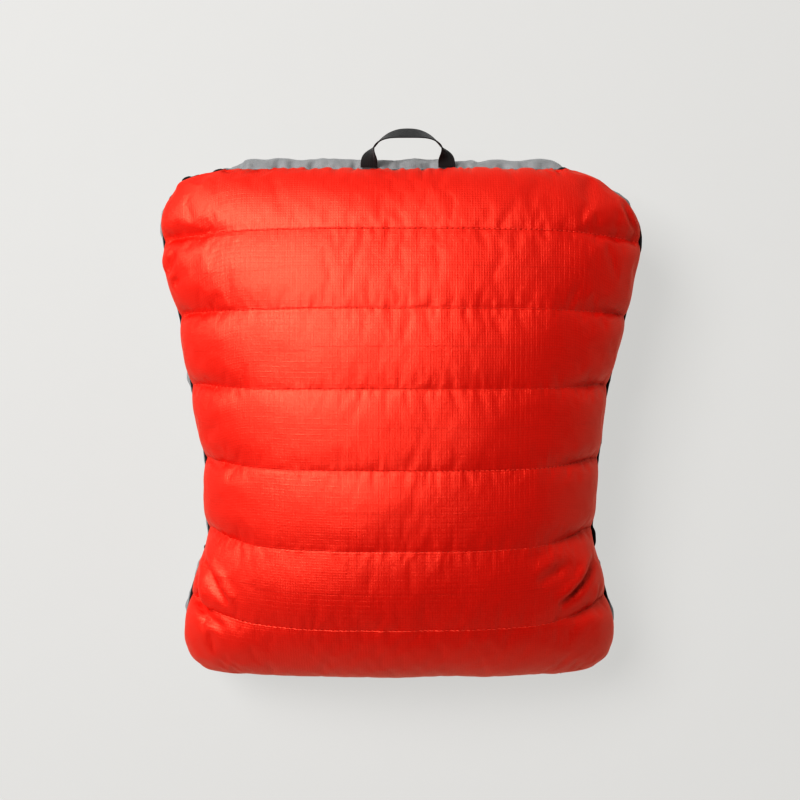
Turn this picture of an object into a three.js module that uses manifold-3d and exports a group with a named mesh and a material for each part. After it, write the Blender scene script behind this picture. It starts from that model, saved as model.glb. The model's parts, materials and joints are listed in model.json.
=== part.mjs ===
// Quilted camp blanket packed into its own stow pocket, which makes a pillow.
//
// Frame, in millimetres: the pillow lies on its back on z = 0, +Z points up out of the quilted
// face, +Y points to the end with the zipper and the carry handle, +X to the right.
// The origin is on the underside, below the middle of the pillow.
//
// Two dishes of three layers each, quilted face above and plain back below, meet at a seam
// plane that rises towards the handle end. The zipper lies at the handle end, on the flat face
// under the back's bulge. The rest of the blanket is folded inside.

import * as THREE from 'three';
import { mergeVertices } from 'three/addons/utils/BufferGeometryUtils.js';
import Module from 'manifold-3d';

const wasm = await Module();
wasm.setup();

// ---- driving dimensions -------------------------------------------------------------------

// Outline of the pocket, seen from above
const TOP_SEAM_Y = 207; // from the origin to the top seam
const BODY_LENGTH = 461; // top seam to bottom seam
const TOP_SEAM_MARGIN = 21; // straight part of the top seam beyond each end of the zipper
const SHOULDER_WIDTH = 437; // widest place
const MIDDLE_WIDTH = 380; // level with the origin
const WAIST_WIDTH = 358; // narrowest place
const HIP_WIDTH = 394; // wide place near the bottom
const BOTTOM_SEAM_WIDTH = 300;
const SHOULDER_DROP = 58; // shoulder below the top seam
const WAIST_RISE = 136; // waist above the bottom seam
const HIP_RISE = 46; // hip above the bottom seam
const CORNER_TUCK = 10; // how quickly a corner rounds off at either end
const CORNER_INSET = 30; // how much narrower the corner is than the shoulder or hip

// Heights
const CROWN_Z = 165; // highest place of the quilted face
const TOP_SEAM_Z = 105;
const BOTTOM_SEAM_Z = 60;
const ROUNDNESS = 2.6; // exponent of the crown's super-ellipse, 2 is an ellipse

// Quilting
const QUILT_LINES = 6;
const FIRST_LINE_DROP = 60; // first quilt line below the top seam
const LAST_LINE_RISE = 56; // last quilt line above the bottom seam
const LOBE_HEIGHT = 6; // how far a channel stands above its two quilt lines

// Back
const BACK_BULGE_TOP = 16; // the back stands out past the top seam by this
const BACK_BULGE_SIDE = 1;
const BULGE_RISE = 0.571; // height of the bulge, as a fraction of the seam's height
const REST_SPREAD = 0.72; // size of the flat patch that touches the ground, of the outline
const UNDER_SPREAD = 0.92; // size of the ring between that patch and the bulge, of the outline
const UNDER_BULGE = 0.6; // how much of the bulge that ring has
const UNDER_RISE = 0.19; // height of that ring, as a fraction of the seam's height

// Layers and seam
const FABRIC_THICKNESS = 0.8;
const BATTING_THICKNESS = 8;
const LAYER_GAP = 0.4;
const SEAM_THICKNESS = 2.4;
const SEAM_GAP = 0.3;

// Zipper
const ZIPPER_LENGTH = 270;
const TAPE_WIDTH = 11;
const TAPE_THICKNESS = 0.8;
const COIL_WIDTH = 2.2;
const COIL_HEIGHT = 2;
const COIL_SPLIT = 1.2; // between the two coils
const ZIPPER_GAP = 0.3;
const STOP_LENGTH = 3;
const END_TAB_LENGTH = 7;
const SLIDER_LENGTH = 12;
const SLIDER_PLATE = 1.2;
const EAR_THICKNESS = 1;
const PIN_RADIUS = 0.6;
const EAR_WALL = 1; // round the pin's hole
const EAR_TOP = 0.6; // width of an ear's top, of its foot
const EYE_WALL = 0.8; // round the hole in the pull
const PULL_LENGTH = 22;
const PULL_WIDTH = 4.4;
const PULL_THICKNESS = 1.4;

// Handle
const WEBBING_WIDTH = 15;
const WEBBING_THICKNESS = 1.2;
const HANDLE_SPAN = 69.7; // between the centrelines of the two legs
const HANDLE_REACH = 30; // from the seam to the apex's centreline
const HANDLE_OFFSET_X = 7;
const HANDLE_ROUNDNESS = 2.4;
const HANDLE_REST_TILT = 10; // degrees above level
const APEX_TWIST = 56; // degrees between the apex and the plane of the loop
const BARTACK_DEPTH = 2.5;

// Folded blanket
const FOLD_PITCH = 20;
const FOLD_GAP = 1.4; // between one fold and the next
const STACK_CLEARANCE = 4; // to the pocket's lining
const STACK_SIDE_ROOM = 60; // to the pocket's lining at the waist, on either side

// Stitching
const THREAD_SIZE = 0.8;
const THREAD_LIFT = 0.9; // its underside above the groove that it lies in

// ---- derived places -----------------------------------------------------------------------

const BOTTOM_SEAM_Y = TOP_SEAM_Y - BODY_LENGTH;
const TOP_SEAM_WIDTH = ZIPPER_LENGTH + 2 * TOP_SEAM_MARGIN;
const MID_Y = (TOP_SEAM_Y + BOTTOM_SEAM_Y) / 2;
const HALF_LENGTH = BODY_LENGTH / 2;
const WALL = 2 * FABRIC_THICKNESS + BATTING_THICKNESS + 2 * LAYER_GAP;
const HALF_SEAM = SEAM_THICKNESS / 2;
const RIM_LIFT = HALF_SEAM + SEAM_GAP; // from the seam plane to the rim of either dish
const SEAM_SLOPE = (TOP_SEAM_Z - BOTTOM_SEAM_Z) / BODY_LENGTH;
const QUILT_PITCH = (BODY_LENGTH - FIRST_LINE_DROP - LAST_LINE_RISE) / (QUILT_LINES - 1);

const halfWidths = new THREE.CubicInterpolant(
  [
    BOTTOM_SEAM_Y,
    BOTTOM_SEAM_Y + CORNER_TUCK,
    BOTTOM_SEAM_Y + HIP_RISE,
    BOTTOM_SEAM_Y + WAIST_RISE,
    0,
    TOP_SEAM_Y - SHOULDER_DROP,
    TOP_SEAM_Y - CORNER_TUCK,
    TOP_SEAM_Y,
  ],
  [
    BOTTOM_SEAM_WIDTH / 2,
    HIP_WIDTH / 2 - CORNER_INSET / 2,
    HIP_WIDTH / 2,
    WAIST_WIDTH / 2,
    MIDDLE_WIDTH / 2,
    SHOULDER_WIDTH / 2,
    SHOULDER_WIDTH / 2 - CORNER_INSET,
    TOP_SEAM_WIDTH / 2,
  ],
  1,
);

function halfWidth(y) {
  return halfWidths.evaluate(y)[0];
}

function seamZ(y) {
  return BOTTOM_SEAM_Z + SEAM_SLOPE * (y - BOTTOM_SEAM_Y);
}

function bend(value) {
  return Math.sign(value) * Math.abs(value) ** (2 / ROUNDNESS);
}

// A length coordinate after the layer has moved in by inset
function insetY(y, inset) {
  return MID_Y + (y - MID_Y) * (1 - inset / HALF_LENGTH);
}

// ---- quilted face -------------------------------------------------------------------------

const ROWS_PER_CHANNEL = 4;
const FACE_COLUMNS = 12;
const CHANNELS = QUILT_LINES + 1;
const FACE_ROWS = CHANNELS * ROWS_PER_CHANNEL;

// Channel borders from the bottom seam to the top seam
const borders = [BOTTOM_SEAM_Y];
for (let line = 0; line < QUILT_LINES; line += 1) {
  borders.push(BOTTOM_SEAM_Y + LAST_LINE_RISE + line * QUILT_PITCH);
}
borders.push(TOP_SEAM_Y);

// Each row's place along the length, and its place across its channel from 0 to 1
const faceRows = [];
for (let row = 0; row <= FACE_ROWS; row += 1) {
  const channel = Math.min(Math.floor(row / ROWS_PER_CHANNEL), CHANNELS - 1);
  let part = row / ROWS_PER_CHANNEL - channel;
  if (channel === 0) {
    part = 1 - Math.cos((part * Math.PI) / 2);
  }
  if (channel === CHANNELS - 1) {
    part = Math.sin((part * Math.PI) / 2);
  }
  faceRows.push({ y: THREE.MathUtils.lerp(borders[channel], borders[channel + 1], part), part });
}

// Height of the quilted face above the seam plane, as a fraction of the crown's own height
function crownAlong(y) {
  const along = Math.min(Math.abs(y - MID_Y) / HALF_LENGTH, 1);
  return (1 - along ** ROUNDNESS) ** (1 / ROUNDNESS);
}

// angle runs from -90 degrees at the left seam to 90 at the right one
function facePoint(angle, row, inset) {
  const { y, part } = row;
  const across = Math.max(Math.cos(angle), 0) ** (2 / ROUNDNESS);
  const height = CROWN_Z - seamZ(y) - RIM_LIFT;
  const crown = (height - LOBE_HEIGHT) * crownAlong(y) * across;
  const lobe = LOBE_HEIGHT * Math.sin(part * Math.PI) * Math.sqrt(across * crownAlong(y));
  const insideY = insetY(y, inset);
  return new THREE.Vector3(
    bend(Math.sin(angle)) * (halfWidth(y) - inset),
    insideY,
    seamZ(insideY) + RIM_LIFT + (crown + lobe) * (1 - inset / height),
  );
}

// ---- plain back ---------------------------------------------------------------------------

const BACK_CELLS = 12;
// From the middle of the underside to the seam: how far out, how much bulge, how high
const BACK_PROFILE = [
  [0, 0, 0],
  [REST_SPREAD / 3, 0, 0],
  [(REST_SPREAD * 2) / 3, 0, 0],
  [REST_SPREAD, 0, 0],
  [UNDER_SPREAD, UNDER_BULGE, UNDER_RISE],
  [1, 1, BULGE_RISE],
  [1, 0, 1],
];

// A point on the pocket's outline; du, dv is a point on the edge of a square from -1 to 1
function outlinePoint(du, dv, inset) {
  const y = MID_Y + HALF_LENGTH * Math.sin((dv * Math.PI) / 2);
  return new THREE.Vector2(du * (halfWidth(y) - inset), insetY(y, inset));
}

function backPoint(u, v, inset) {
  const reach = Math.max(Math.abs(u), Math.abs(v));
  const level = Math.round((reach * BACK_CELLS) / 2);
  const [spread, bulge, rise] = BACK_PROFILE[level];
  if (level === 0) {
    return new THREE.Vector3(0, MID_Y, inset);
  }
  const edge = outlinePoint(u / reach, v / reach, inset);
  const towardsTop = Math.max(0, v / reach) ** 4;
  const rim = seamZ(edge.y) - RIM_LIFT;
  return new THREE.Vector3(
    edge.x * (spread + (bulge * BACK_BULGE_SIDE) / (SHOULDER_WIDTH / 2)),
    MID_Y + (edge.y - MID_Y) * spread + bulge * BACK_BULGE_TOP * towardsTop,
    inset + (rim - inset) * rise,
  );
}

// ---- making meshes ------------------------------------------------------------------------

const group = new THREE.Group();

const finishes = {
  face: { color: 0xe8402f, roughness: 0.42, metalness: 0 },
  lining: { color: 0x8b8d90, roughness: 0.5, metalness: 0 },
  batting: { color: 0xf0efec, roughness: 0.95, metalness: 0 },
  binding: { color: 0x2b2c2e, roughness: 0.8, metalness: 0 },
  tape: { color: 0x18191b, roughness: 0.8, metalness: 0 },
  coil: { color: 0x101113, roughness: 0.35, metalness: 0 },
  metal: { color: 0x2a2b2d, roughness: 0.4, metalness: 0.8 },
  thread: { color: 0xf05a48, roughness: 0.6, metalness: 0 },
};

function addMesh(name, geometry, finish, parent = group) {
  const mesh = new THREE.Mesh(geometry, new THREE.MeshStandardMaterial(finishes[finish]));
  mesh.name = name;
  parent.add(mesh);
  return mesh;
}

// A slab with a grid of points on both sides, each put where place(x, y, side) says: x and y
// run from -1 to 1, and side is 1 on the upper grid and 0 on the lower one. Both grids are cut
// into triangles alike, so slabs with the same grid nest, and every cell is cut along the
// diagonal that points to the nearest corner.
function slab(columns, rows, place) {
  const sheet = new THREE.PlaneGeometry(2, 2, columns, rows);
  const grid = sheet.attributes.position;
  const positions = [];
  for (const side of [1, 0]) {
    for (let i = 0; i < grid.count; i += 1) {
      positions.push(...place(grid.getX(i), grid.getY(i), side).toArray());
    }
  }
  const at = (column, row) => row * (columns + 1) + column;
  const faces = [];
  for (let row = 0; row < rows; row += 1) {
    for (let column = 0; column < columns; column += 1) {
      const a = at(column, row);
      const b = at(column, row + 1);
      const c = at(column + 1, row + 1);
      const d = at(column + 1, row);
      const fromCornerA = column < columns / 2 === row < rows / 2;
      const halves = fromCornerA ? [[a, b, c], [a, c, d]] : [[a, b, d], [b, c, d]];
      for (const [p, q, r] of halves) {
        faces.push(p, q, r, p + grid.count, r + grid.count, q + grid.count);
      }
    }
  }
  const rim = [];
  for (let column = 0; column < columns; column += 1) {
    rim.push([at(column, 0), at(column + 1, 0)]);
    rim.push([at(column + 1, rows), at(column, rows)]);
  }
  for (let row = 0; row < rows; row += 1) {
    rim.push([at(columns, row), at(columns, row + 1)]);
    rim.push([at(0, row + 1), at(0, row)]);
  }
  for (const [a, b] of rim) {
    faces.push(a, b, b + grid.count, a, b + grid.count, a + grid.count);
  }
  const geometry = new THREE.BufferGeometry();
  geometry.setAttribute('position', new THREE.Float32BufferAttribute(positions, 3));
  geometry.setIndex(faces);
  geometry.computeVertexNormals();
  return geometry;
}

function faceLayer(from, to) {
  return slab(FACE_COLUMNS, FACE_ROWS, (x, y, side) => {
    const row = faceRows[Math.round(((y + 1) / 2) * FACE_ROWS)];
    return facePoint((x * Math.PI) / 2, row, side ? from : to);
  });
}

function backLayer(from, to) {
  return slab(BACK_CELLS, BACK_CELLS, (x, y, side) => backPoint(x, y, side ? to : from));
}

const MERGE_DISTANCE = 1e-5;

function solidOf(geometry) {
  const plain = geometry.clone();
  plain.deleteAttribute('normal');
  plain.deleteAttribute('uv');
  const merged = mergeVertices(plain, MERGE_DISTANCE);
  return new wasm.Manifold(
    new wasm.Mesh({
      numProp: 3,
      vertProperties: new Float32Array(merged.attributes.position.array),
      triVerts: new Uint32Array(merged.index.array),
    }),
  );
}

function geometryOf(solid) {
  const mesh = solid.getMesh();
  const geometry = new THREE.BufferGeometry();
  geometry.setAttribute('position', new THREE.BufferAttribute(mesh.vertProperties, 3));
  geometry.setIndex(new THREE.BufferAttribute(mesh.triVerts, 1));
  geometry.computeVertexNormals();
  return geometry;
}

// ---- zipper frame -------------------------------------------------------------------------

const COIL_CENTRE = ZIPPER_GAP + TAPE_WIDTH + COIL_SPLIT / 2;
const ZIPPER_WIDTH = 2 * COIL_CENTRE;
const HALF_ZIPPER = ZIPPER_LENGTH / 2;

// The flat face at the handle end, from the edge of the bulge down to the ring under it
const rimZ = TOP_SEAM_Z - RIM_LIFT;
const bulgeEdge = new THREE.Vector2(TOP_SEAM_Y + BACK_BULGE_TOP, rimZ * BULGE_RISE);
const underEdge = new THREE.Vector2(
  MID_Y + HALF_LENGTH * UNDER_SPREAD + BACK_BULGE_TOP * UNDER_BULGE,
  rimZ * UNDER_RISE,
);
const faceDown = underEdge.clone().sub(bulgeEdge);
const faceMargin = (faceDown.length() - ZIPPER_WIDTH) / 2;
const zipperEdge = bulgeEdge.clone().addScaledVector(faceDown.clone().normalize(), faceMargin);

// Local x runs along the zipper, y down that face, z out of it
const zipperFace = new THREE.Group();
zipperFace.position.set(0, zipperEdge.x, zipperEdge.y);
zipperFace.rotation.x = faceDown.angle();
zipperFace.updateMatrixWorld(true);
group.add(zipperFace);

// The window for the zipper goes through all the layers
const WINDOW_LENGTH = ZIPPER_LENGTH + 2 * (END_TAB_LENGTH + 2 * ZIPPER_GAP);
const WINDOW_DEPTH = 4 * WALL;

function windowTool() {
  const tool = new THREE.BoxGeometry(WINDOW_LENGTH, ZIPPER_WIDTH, WINDOW_DEPTH);
  tool.translate(0, COIL_CENTRE, 0);
  tool.applyMatrix4(zipperFace.matrixWorld);
  return solidOf(tool);
}

// ---- pocket shells ------------------------------------------------------------------------

const fabricEnd = FABRIC_THICKNESS;
const battingStart = fabricEnd + LAYER_GAP;
const battingEnd = battingStart + BATTING_THICKNESS;
const liningStart = battingEnd + LAYER_GAP;

addMesh('front_face_fabric', faceLayer(0, fabricEnd), 'face');
addMesh('front_insulation', faceLayer(battingStart, battingEnd), 'batting');
addMesh('front_lining', faceLayer(liningStart, WALL), 'lining');

const zipperWindow = windowTool();
function backShell(from, to) {
  return geometryOf(solidOf(backLayer(from, to)).subtract(zipperWindow));
}
addMesh('back_outer_fabric', backShell(0, fabricEnd), 'lining');
addMesh('back_insulation', backShell(battingStart, battingEnd), 'batting');
addMesh('back_lining', backShell(liningStart, WALL), 'face');

// The seam allowance of all the layers, bound together between the two dishes
const RING_STEPS = 7;

function seamRing() {
  function loop(inset) {
    const points = [];
    for (let i = -RING_STEPS; i <= RING_STEPS; i += 1) {
      points.push(outlinePoint(1, i / RING_STEPS, inset));
    }
    for (let i = -RING_STEPS; i <= RING_STEPS; i += 1) {
      points.push(outlinePoint(-1, -i / RING_STEPS, inset));
    }
    return points;
  }
  const shape = new THREE.Shape(loop(0));
  shape.holes.push(new THREE.Path(loop(WALL)));
  const ring = new THREE.ExtrudeGeometry(shape, { depth: SEAM_THICKNESS, bevelEnabled: false });
  const points = ring.attributes.position;
  for (let i = 0; i < points.count; i += 1) {
    points.setZ(i, points.getZ(i) + seamZ(points.getY(i)) - HALF_SEAM);
  }
  ring.computeVertexNormals();
  return ring;
}
addMesh('seam_binding', seamRing(), 'binding');

// ---- quilt stitching ----------------------------------------------------------------------

function quiltThread(row) {
  return slab(FACE_COLUMNS, 1, (x, y, side) => {
    const point = facePoint((x * Math.PI) / 2, row, 0);
    const out = new THREE.Vector3(bend(Math.sin((x * Math.PI) / 2)) * THREAD_LIFT, 0, THREAD_LIFT);
    point.add(out.multiplyScalar(1 + side * (THREAD_SIZE / THREAD_LIFT)));
    point.y += (y * THREAD_SIZE) / 2;
    return point;
  });
}

for (let line = 1; line <= QUILT_LINES; line += 1) {
  const row = faceRows[(CHANNELS - line) * ROWS_PER_CHANNEL];
  addMesh(`quilt_thread_${line}`, quiltThread(row), 'thread');
}

// ---- zipper -------------------------------------------------------------------------------

function box(size, place) {
  const geometry = new THREE.BoxGeometry(...size);
  geometry.translate(...place);
  return geometry;
}

const coilOffset = (COIL_SPLIT + COIL_WIDTH) / 2;
for (const [side, name] of [[-1, 'front'], [1, 'back']]) {
  const tape = box(
    [ZIPPER_LENGTH, TAPE_WIDTH, TAPE_THICKNESS],
    [0, COIL_CENTRE + (side * (COIL_SPLIT + TAPE_WIDTH)) / 2, -TAPE_THICKNESS / 2],
  );
  addMesh(`zipper_tape_${name}`, tape, 'tape', zipperFace);
  const coil = box(
    [ZIPPER_LENGTH - 2 * (STOP_LENGTH + ZIPPER_GAP), COIL_WIDTH, COIL_HEIGHT],
    [0, COIL_CENTRE + side * coilOffset, ZIPPER_GAP + COIL_HEIGHT / 2],
  );
  addMesh(`zipper_coil_${name}`, coil, 'coil', zipperFace);
}

for (const [side, name] of [[-1, 'top'], [1, 'bottom']]) {
  const stop = box(
    [STOP_LENGTH, 2 * COIL_WIDTH + COIL_SPLIT, COIL_HEIGHT],
    [side * (HALF_ZIPPER - STOP_LENGTH / 2), COIL_CENTRE, ZIPPER_GAP + COIL_HEIGHT / 2],
  );
  addMesh(`zipper_stop_${name}`, stop, 'metal', zipperFace);
}

for (const [side, name] of [[-1, 'left'], [1, 'right']]) {
  const tab = box(
    [END_TAB_LENGTH, ZIPPER_WIDTH - 2 * ZIPPER_GAP, TAPE_THICKNESS],
    [side * (HALF_ZIPPER + ZIPPER_GAP + END_TAB_LENGTH / 2), COIL_CENTRE, -TAPE_THICKNESS / 2],
  );
  addMesh(`zipper_end_tab_${name}`, tab, 'tape', zipperFace);
}

// The slider's section: a plate over the coils with its edges turned down, a plate under the
// tapes, and the thin wedge that joins them between the coils
const coilTop = ZIPPER_GAP + COIL_HEIGHT;
const plateBottom = coilTop + ZIPPER_GAP;
const plateTop = plateBottom + SLIDER_PLATE;
const underTop = -TAPE_THICKNESS - ZIPPER_GAP;
const underBottom = underTop - SLIDER_PLATE;
const flangeInner = COIL_SPLIT / 2 + COIL_WIDTH + ZIPPER_GAP;
const flangeOuter = flangeInner + SLIDER_PLATE;
const wedge = (COIL_SPLIT - 2 * ZIPPER_GAP) / 2;
const SLIDER_X = -HALF_ZIPPER + STOP_LENGTH + 2 * ZIPPER_GAP + SLIDER_LENGTH / 2;

function sliderGeometry() {
  const section = new THREE.Shape([
    new THREE.Vector2(-flangeOuter, plateTop),
    new THREE.Vector2(-flangeOuter, ZIPPER_GAP),
    new THREE.Vector2(-flangeInner, ZIPPER_GAP),
    new THREE.Vector2(-flangeInner, plateBottom),
    new THREE.Vector2(-wedge, plateBottom),
    new THREE.Vector2(-wedge, underTop),
    new THREE.Vector2(-flangeOuter, underTop),
    new THREE.Vector2(-flangeOuter, underBottom),
    new THREE.Vector2(flangeOuter, underBottom),
    new THREE.Vector2(flangeOuter, underTop),
    new THREE.Vector2(wedge, underTop),
    new THREE.Vector2(wedge, plateBottom),
    new THREE.Vector2(flangeInner, plateBottom),
    new THREE.Vector2(flangeInner, ZIPPER_GAP),
    new THREE.Vector2(flangeOuter, ZIPPER_GAP),
    new THREE.Vector2(flangeOuter, plateTop),
  ]);
  const plates = new THREE.ExtrudeGeometry(section, { depth: SLIDER_LENGTH, bevelEnabled: false });
  plates.translate(0, 0, -SLIDER_LENGTH / 2);
  plates.rotateY(Math.PI / 2);
  plates.rotateX(Math.PI / 2);
  let slider = solidOf(plates);
  for (const side of [-1, 1]) {
    slider = slider.add(solidOf(earGeometry(side)));
  }
  return geometryOf(slider);
}

// The pull turns on a pin between two ears on the slider
const EAR_RADIUS = PIN_RADIUS + EAR_WALL;
const EYE_RADIUS = PIN_RADIUS + ZIPPER_GAP + EYE_WALL;
const PIN_HEIGHT = plateTop + EYE_RADIUS + ZIPPER_GAP;
const earOffset = PULL_WIDTH / 2 + ZIPPER_GAP + EAR_THICKNESS / 2;
const ROUND_STEPS = 10;

function circleOutline(Kind, radius) {
  const points = [];
  for (let i = 0; i < ROUND_STEPS; i += 1) {
    const angle = (i / ROUND_STEPS) * 2 * Math.PI;
    points.push(new THREE.Vector2(radius * Math.cos(angle), radius * Math.sin(angle)));
  }
  return new Kind(points);
}

// Extrudes a shape drawn in x and z about the pin's axis, along local y
function acrossSlider(shape, width, centre) {
  const geometry = new THREE.ExtrudeGeometry(shape, { depth: width, bevelEnabled: false });
  geometry.translate(0, 0, -width / 2);
  geometry.rotateX(Math.PI / 2);
  geometry.translate(0, centre, PIN_HEIGHT);
  return geometry;
}

function earGeometry(side) {
  const foot = plateTop - SLIDER_PLATE / 2 - PIN_HEIGHT;
  const ear = new THREE.Shape([
    new THREE.Vector2(-EAR_RADIUS, foot),
    new THREE.Vector2(EAR_RADIUS, foot),
    new THREE.Vector2(EAR_RADIUS, 0),
    new THREE.Vector2(EAR_RADIUS * EAR_TOP, EAR_RADIUS),
    new THREE.Vector2(-EAR_RADIUS * EAR_TOP, EAR_RADIUS),
    new THREE.Vector2(-EAR_RADIUS, 0),
  ]);
  ear.holes.push(circleOutline(THREE.Path, PIN_RADIUS + ZIPPER_GAP));
  return acrossSlider(ear, EAR_THICKNESS, side * earOffset);
}

const slider = new THREE.Group();
slider.position.set(SLIDER_X, COIL_CENTRE, 0);
zipperFace.add(slider);
addMesh('zipper_slider_body', sliderGeometry(), 'metal', slider);

const pinLength = 2 * (earOffset + EAR_THICKNESS / 2);
const pin = acrossSlider(circleOutline(THREE.Shape, PIN_RADIUS), pinLength, 0);
addMesh('zipper_pull_pin', pin, 'metal', slider);

function pullGeometry() {
  const half = PULL_THICKNESS / 2;
  const start = Math.sqrt(EYE_RADIUS ** 2 - half ** 2);
  const from = Math.atan2(half, start);
  const tab = new THREE.Shape();
  tab.moveTo(PULL_LENGTH, -half);
  tab.lineTo(PULL_LENGTH, half);
  for (let i = 0; i <= ROUND_STEPS; i += 1) {
    const angle = from + (i / ROUND_STEPS) * 2 * (Math.PI - from);
    tab.lineTo(EYE_RADIUS * Math.cos(angle), EYE_RADIUS * Math.sin(angle));
  }
  tab.holes.push(circleOutline(THREE.Path, PIN_RADIUS + ZIPPER_GAP));
  return acrossSlider(tab, PULL_WIDTH, 0);
}
addMesh('zipper_pull_tab', pullGeometry(), 'tape', slider);

// ---- handle -------------------------------------------------------------------------------

// The loop's own plane holds its pivot axis along x, and y reaches out from the seam
const handle = new THREE.Group();
handle.position.set(HANDLE_OFFSET_X, TOP_SEAM_Y + WEBBING_THICKNESS, TOP_SEAM_Z);
handle.rotation.x = THREE.MathUtils.degToRad(HANDLE_REST_TILT);
group.add(handle);

const HANDLE_STEPS = 28;
const TANGENT_STEP = 1 / (4 * HANDLE_STEPS);
const TWIST_END = 0.2; // the legs have turned edge-on this far along the webbing

// Degrees between the webbing's width and the plane of the loop
function twistAt(along) {
  const fromRoot = Math.min(along, 1 - along);
  const turned = 90 * THREE.MathUtils.smoothstep(fromRoot, 0, TWIST_END);
  return turned - (90 - APEX_TWIST) * THREE.MathUtils.smoothstep(fromRoot, TWIST_END, 0.5);
}

function loopPoint(along) {
  const angle = Math.PI * (1 - along);
  const x = Math.cos(angle);
  const y = Math.sin(angle);
  return new THREE.Vector3(
    (HANDLE_SPAN / 2) * Math.sign(x) * Math.abs(x) ** (2 / HANDLE_ROUNDNESS),
    HANDLE_REACH * Math.abs(y) ** (2 / HANDLE_ROUNDNESS),
    0,
  );
}

function handleGeometry() {
  return slab(1, HANDLE_STEPS, (x, y, side) => {
    const along = (1 - y) / 2;
    const before = loopPoint(Math.max(along - TANGENT_STEP, 0));
    const tangent = loopPoint(Math.min(along + TANGENT_STEP, 1)).sub(before).normalize();
    const outward = new THREE.Vector3(-tangent.y, tangent.x, 0);
    const twist = THREE.MathUtils.degToRad(twistAt(along));
    const up = new THREE.Vector3(0, 0, 1);
    const width = outward.clone().multiplyScalar(Math.cos(twist));
    width.addScaledVector(up, -Math.sin(twist));
    const flat = outward.clone().multiplyScalar(Math.sin(twist));
    flat.addScaledVector(up, Math.cos(twist));
    return loopPoint(along)
      .addScaledVector(width, (x * WEBBING_WIDTH) / 2)
      .addScaledVector(flat, (side - 0.5) * WEBBING_THICKNESS);
  });
}
addMesh('handle_webbing', handleGeometry(), 'tape', handle);

for (const [side, name] of [[-1, 'left'], [1, 'right']]) {
  const bartack = box(
    [WEBBING_WIDTH, BARTACK_DEPTH, FABRIC_THICKNESS],
    [
      HANDLE_OFFSET_X + (side * HANDLE_SPAN) / 2,
      insetY(TOP_SEAM_Y, WALL) - SEAM_GAP - BARTACK_DEPTH / 2,
      TOP_SEAM_Z - WALL * SEAM_SLOPE,
    ],
  );
  addMesh(`handle_bartack_${name}`, bartack, 'binding');
}

// ---- folded blanket inside the pocket -----------------------------------------------------

// The rest of the blanket lies in flat folds, one on the other, as a ribbon seen end-on

const STACK_HALF_WIDTH = WAIST_WIDTH / 2 - WALL - STACK_SIDE_ROOM;
const stackBottom = WALL + STACK_CLEARANCE;

// Whether a point of the stack, with its clearance, is inside the pocket
function insidePocket(y, z) {
  const reach = 1 - Math.abs(y - MID_Y) / HALF_LENGTH;
  if (reach <= 0) {
    return false;
  }
  const sine = (STACK_HALF_WIDTH / (halfWidth(y) - WALL)) ** (ROUNDNESS / 2);
  const across = (1 - sine ** 2) ** (1 / ROUNDNESS);
  const seam = seamZ(y);
  const roof = seam + (CROWN_Z - LOBE_HEIGHT - seam) * crownAlong(y) * across - WALL;
  const wall = HALF_LENGTH * (REST_SPREAD + ((1 - REST_SPREAD) * z) / (BULGE_RISE * seam));
  const side = Math.min(wall, HALF_LENGTH) - WALL - STACK_CLEARANCE;
  return z < roof - STACK_CLEARANCE && Math.abs(y - MID_Y) < side;
}

// The furthest place along the length, towards one end, that a fold may reach
function foldReach(low, high, towards) {
  let y = MID_Y;
  while (insidePocket(y + towards, low) && insidePocket(y + towards, high)) {
    y += towards;
  }
  return y;
}

// As many folds as leave room, on both sides of the middle, to turn back in the top one
function foldCount() {
  let count = 0;
  let low = stackBottom;
  while ([-1, 1].every((end) => end * (foldReach(low, low + FOLD_PITCH, end) - MID_Y) > FOLD_PITCH)) {
    count += 1;
    low += FOLD_PITCH;
  }
  return count;
}

const TURN_STEPS = 6;

function foldCentreline() {
  const points = [];
  const folds = foldCount();
  for (let fold = 0; fold < folds; fold += 1) {
    const towards = fold % 2 === 0 ? 1 : -1;
    const low = stackBottom + fold * FOLD_PITCH;
    const z = low + FOLD_PITCH / 2;
    if (fold === 0) {
      points.push({ y: foldReach(low, low + FOLD_PITCH, -1), z, ny: 0, nz: 1 });
    }
    if (fold === folds - 1) {
      points.push({ y: foldReach(low, low + FOLD_PITCH, towards), z, ny: 0, nz: towards });
      break;
    }
    const end = foldReach(low, low + 2 * FOLD_PITCH, towards) - towards * FOLD_PITCH;
    for (let i = 0; i <= TURN_STEPS; i += 1) {
      const angle = -Math.PI / 2 + (Math.PI * i) / TURN_STEPS;
      points.push({
        y: end + (towards * Math.cos(angle) * FOLD_PITCH) / 2,
        z: z + FOLD_PITCH / 2 + (Math.sin(angle) * FOLD_PITCH) / 2,
        ny: -Math.cos(angle),
        nz: -Math.sin(angle) * towards,
      });
    }
  }
  return points;
}

const centreline = foldCentreline();

// One layer of the folded ribbon, between two distances from its centreline
function foldedLayer(from, to) {
  const outline = [];
  for (const { y, z, ny, nz } of centreline) {
    outline.push(new THREE.Vector2(y + ny * to, z + nz * to));
  }
  for (const { y, z, ny, nz } of [...centreline].reverse()) {
    outline.push(new THREE.Vector2(y + ny * from, z + nz * from));
  }
  const shape = new THREE.Shape(outline);
  const layer = new THREE.ExtrudeGeometry(shape, {
    depth: 2 * STACK_HALF_WIDTH,
    bevelEnabled: false,
  });
  layer.translate(0, 0, -STACK_HALF_WIDTH);
  layer.rotateX(Math.PI / 2);
  layer.rotateZ(Math.PI / 2);
  return layer;
}

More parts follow.
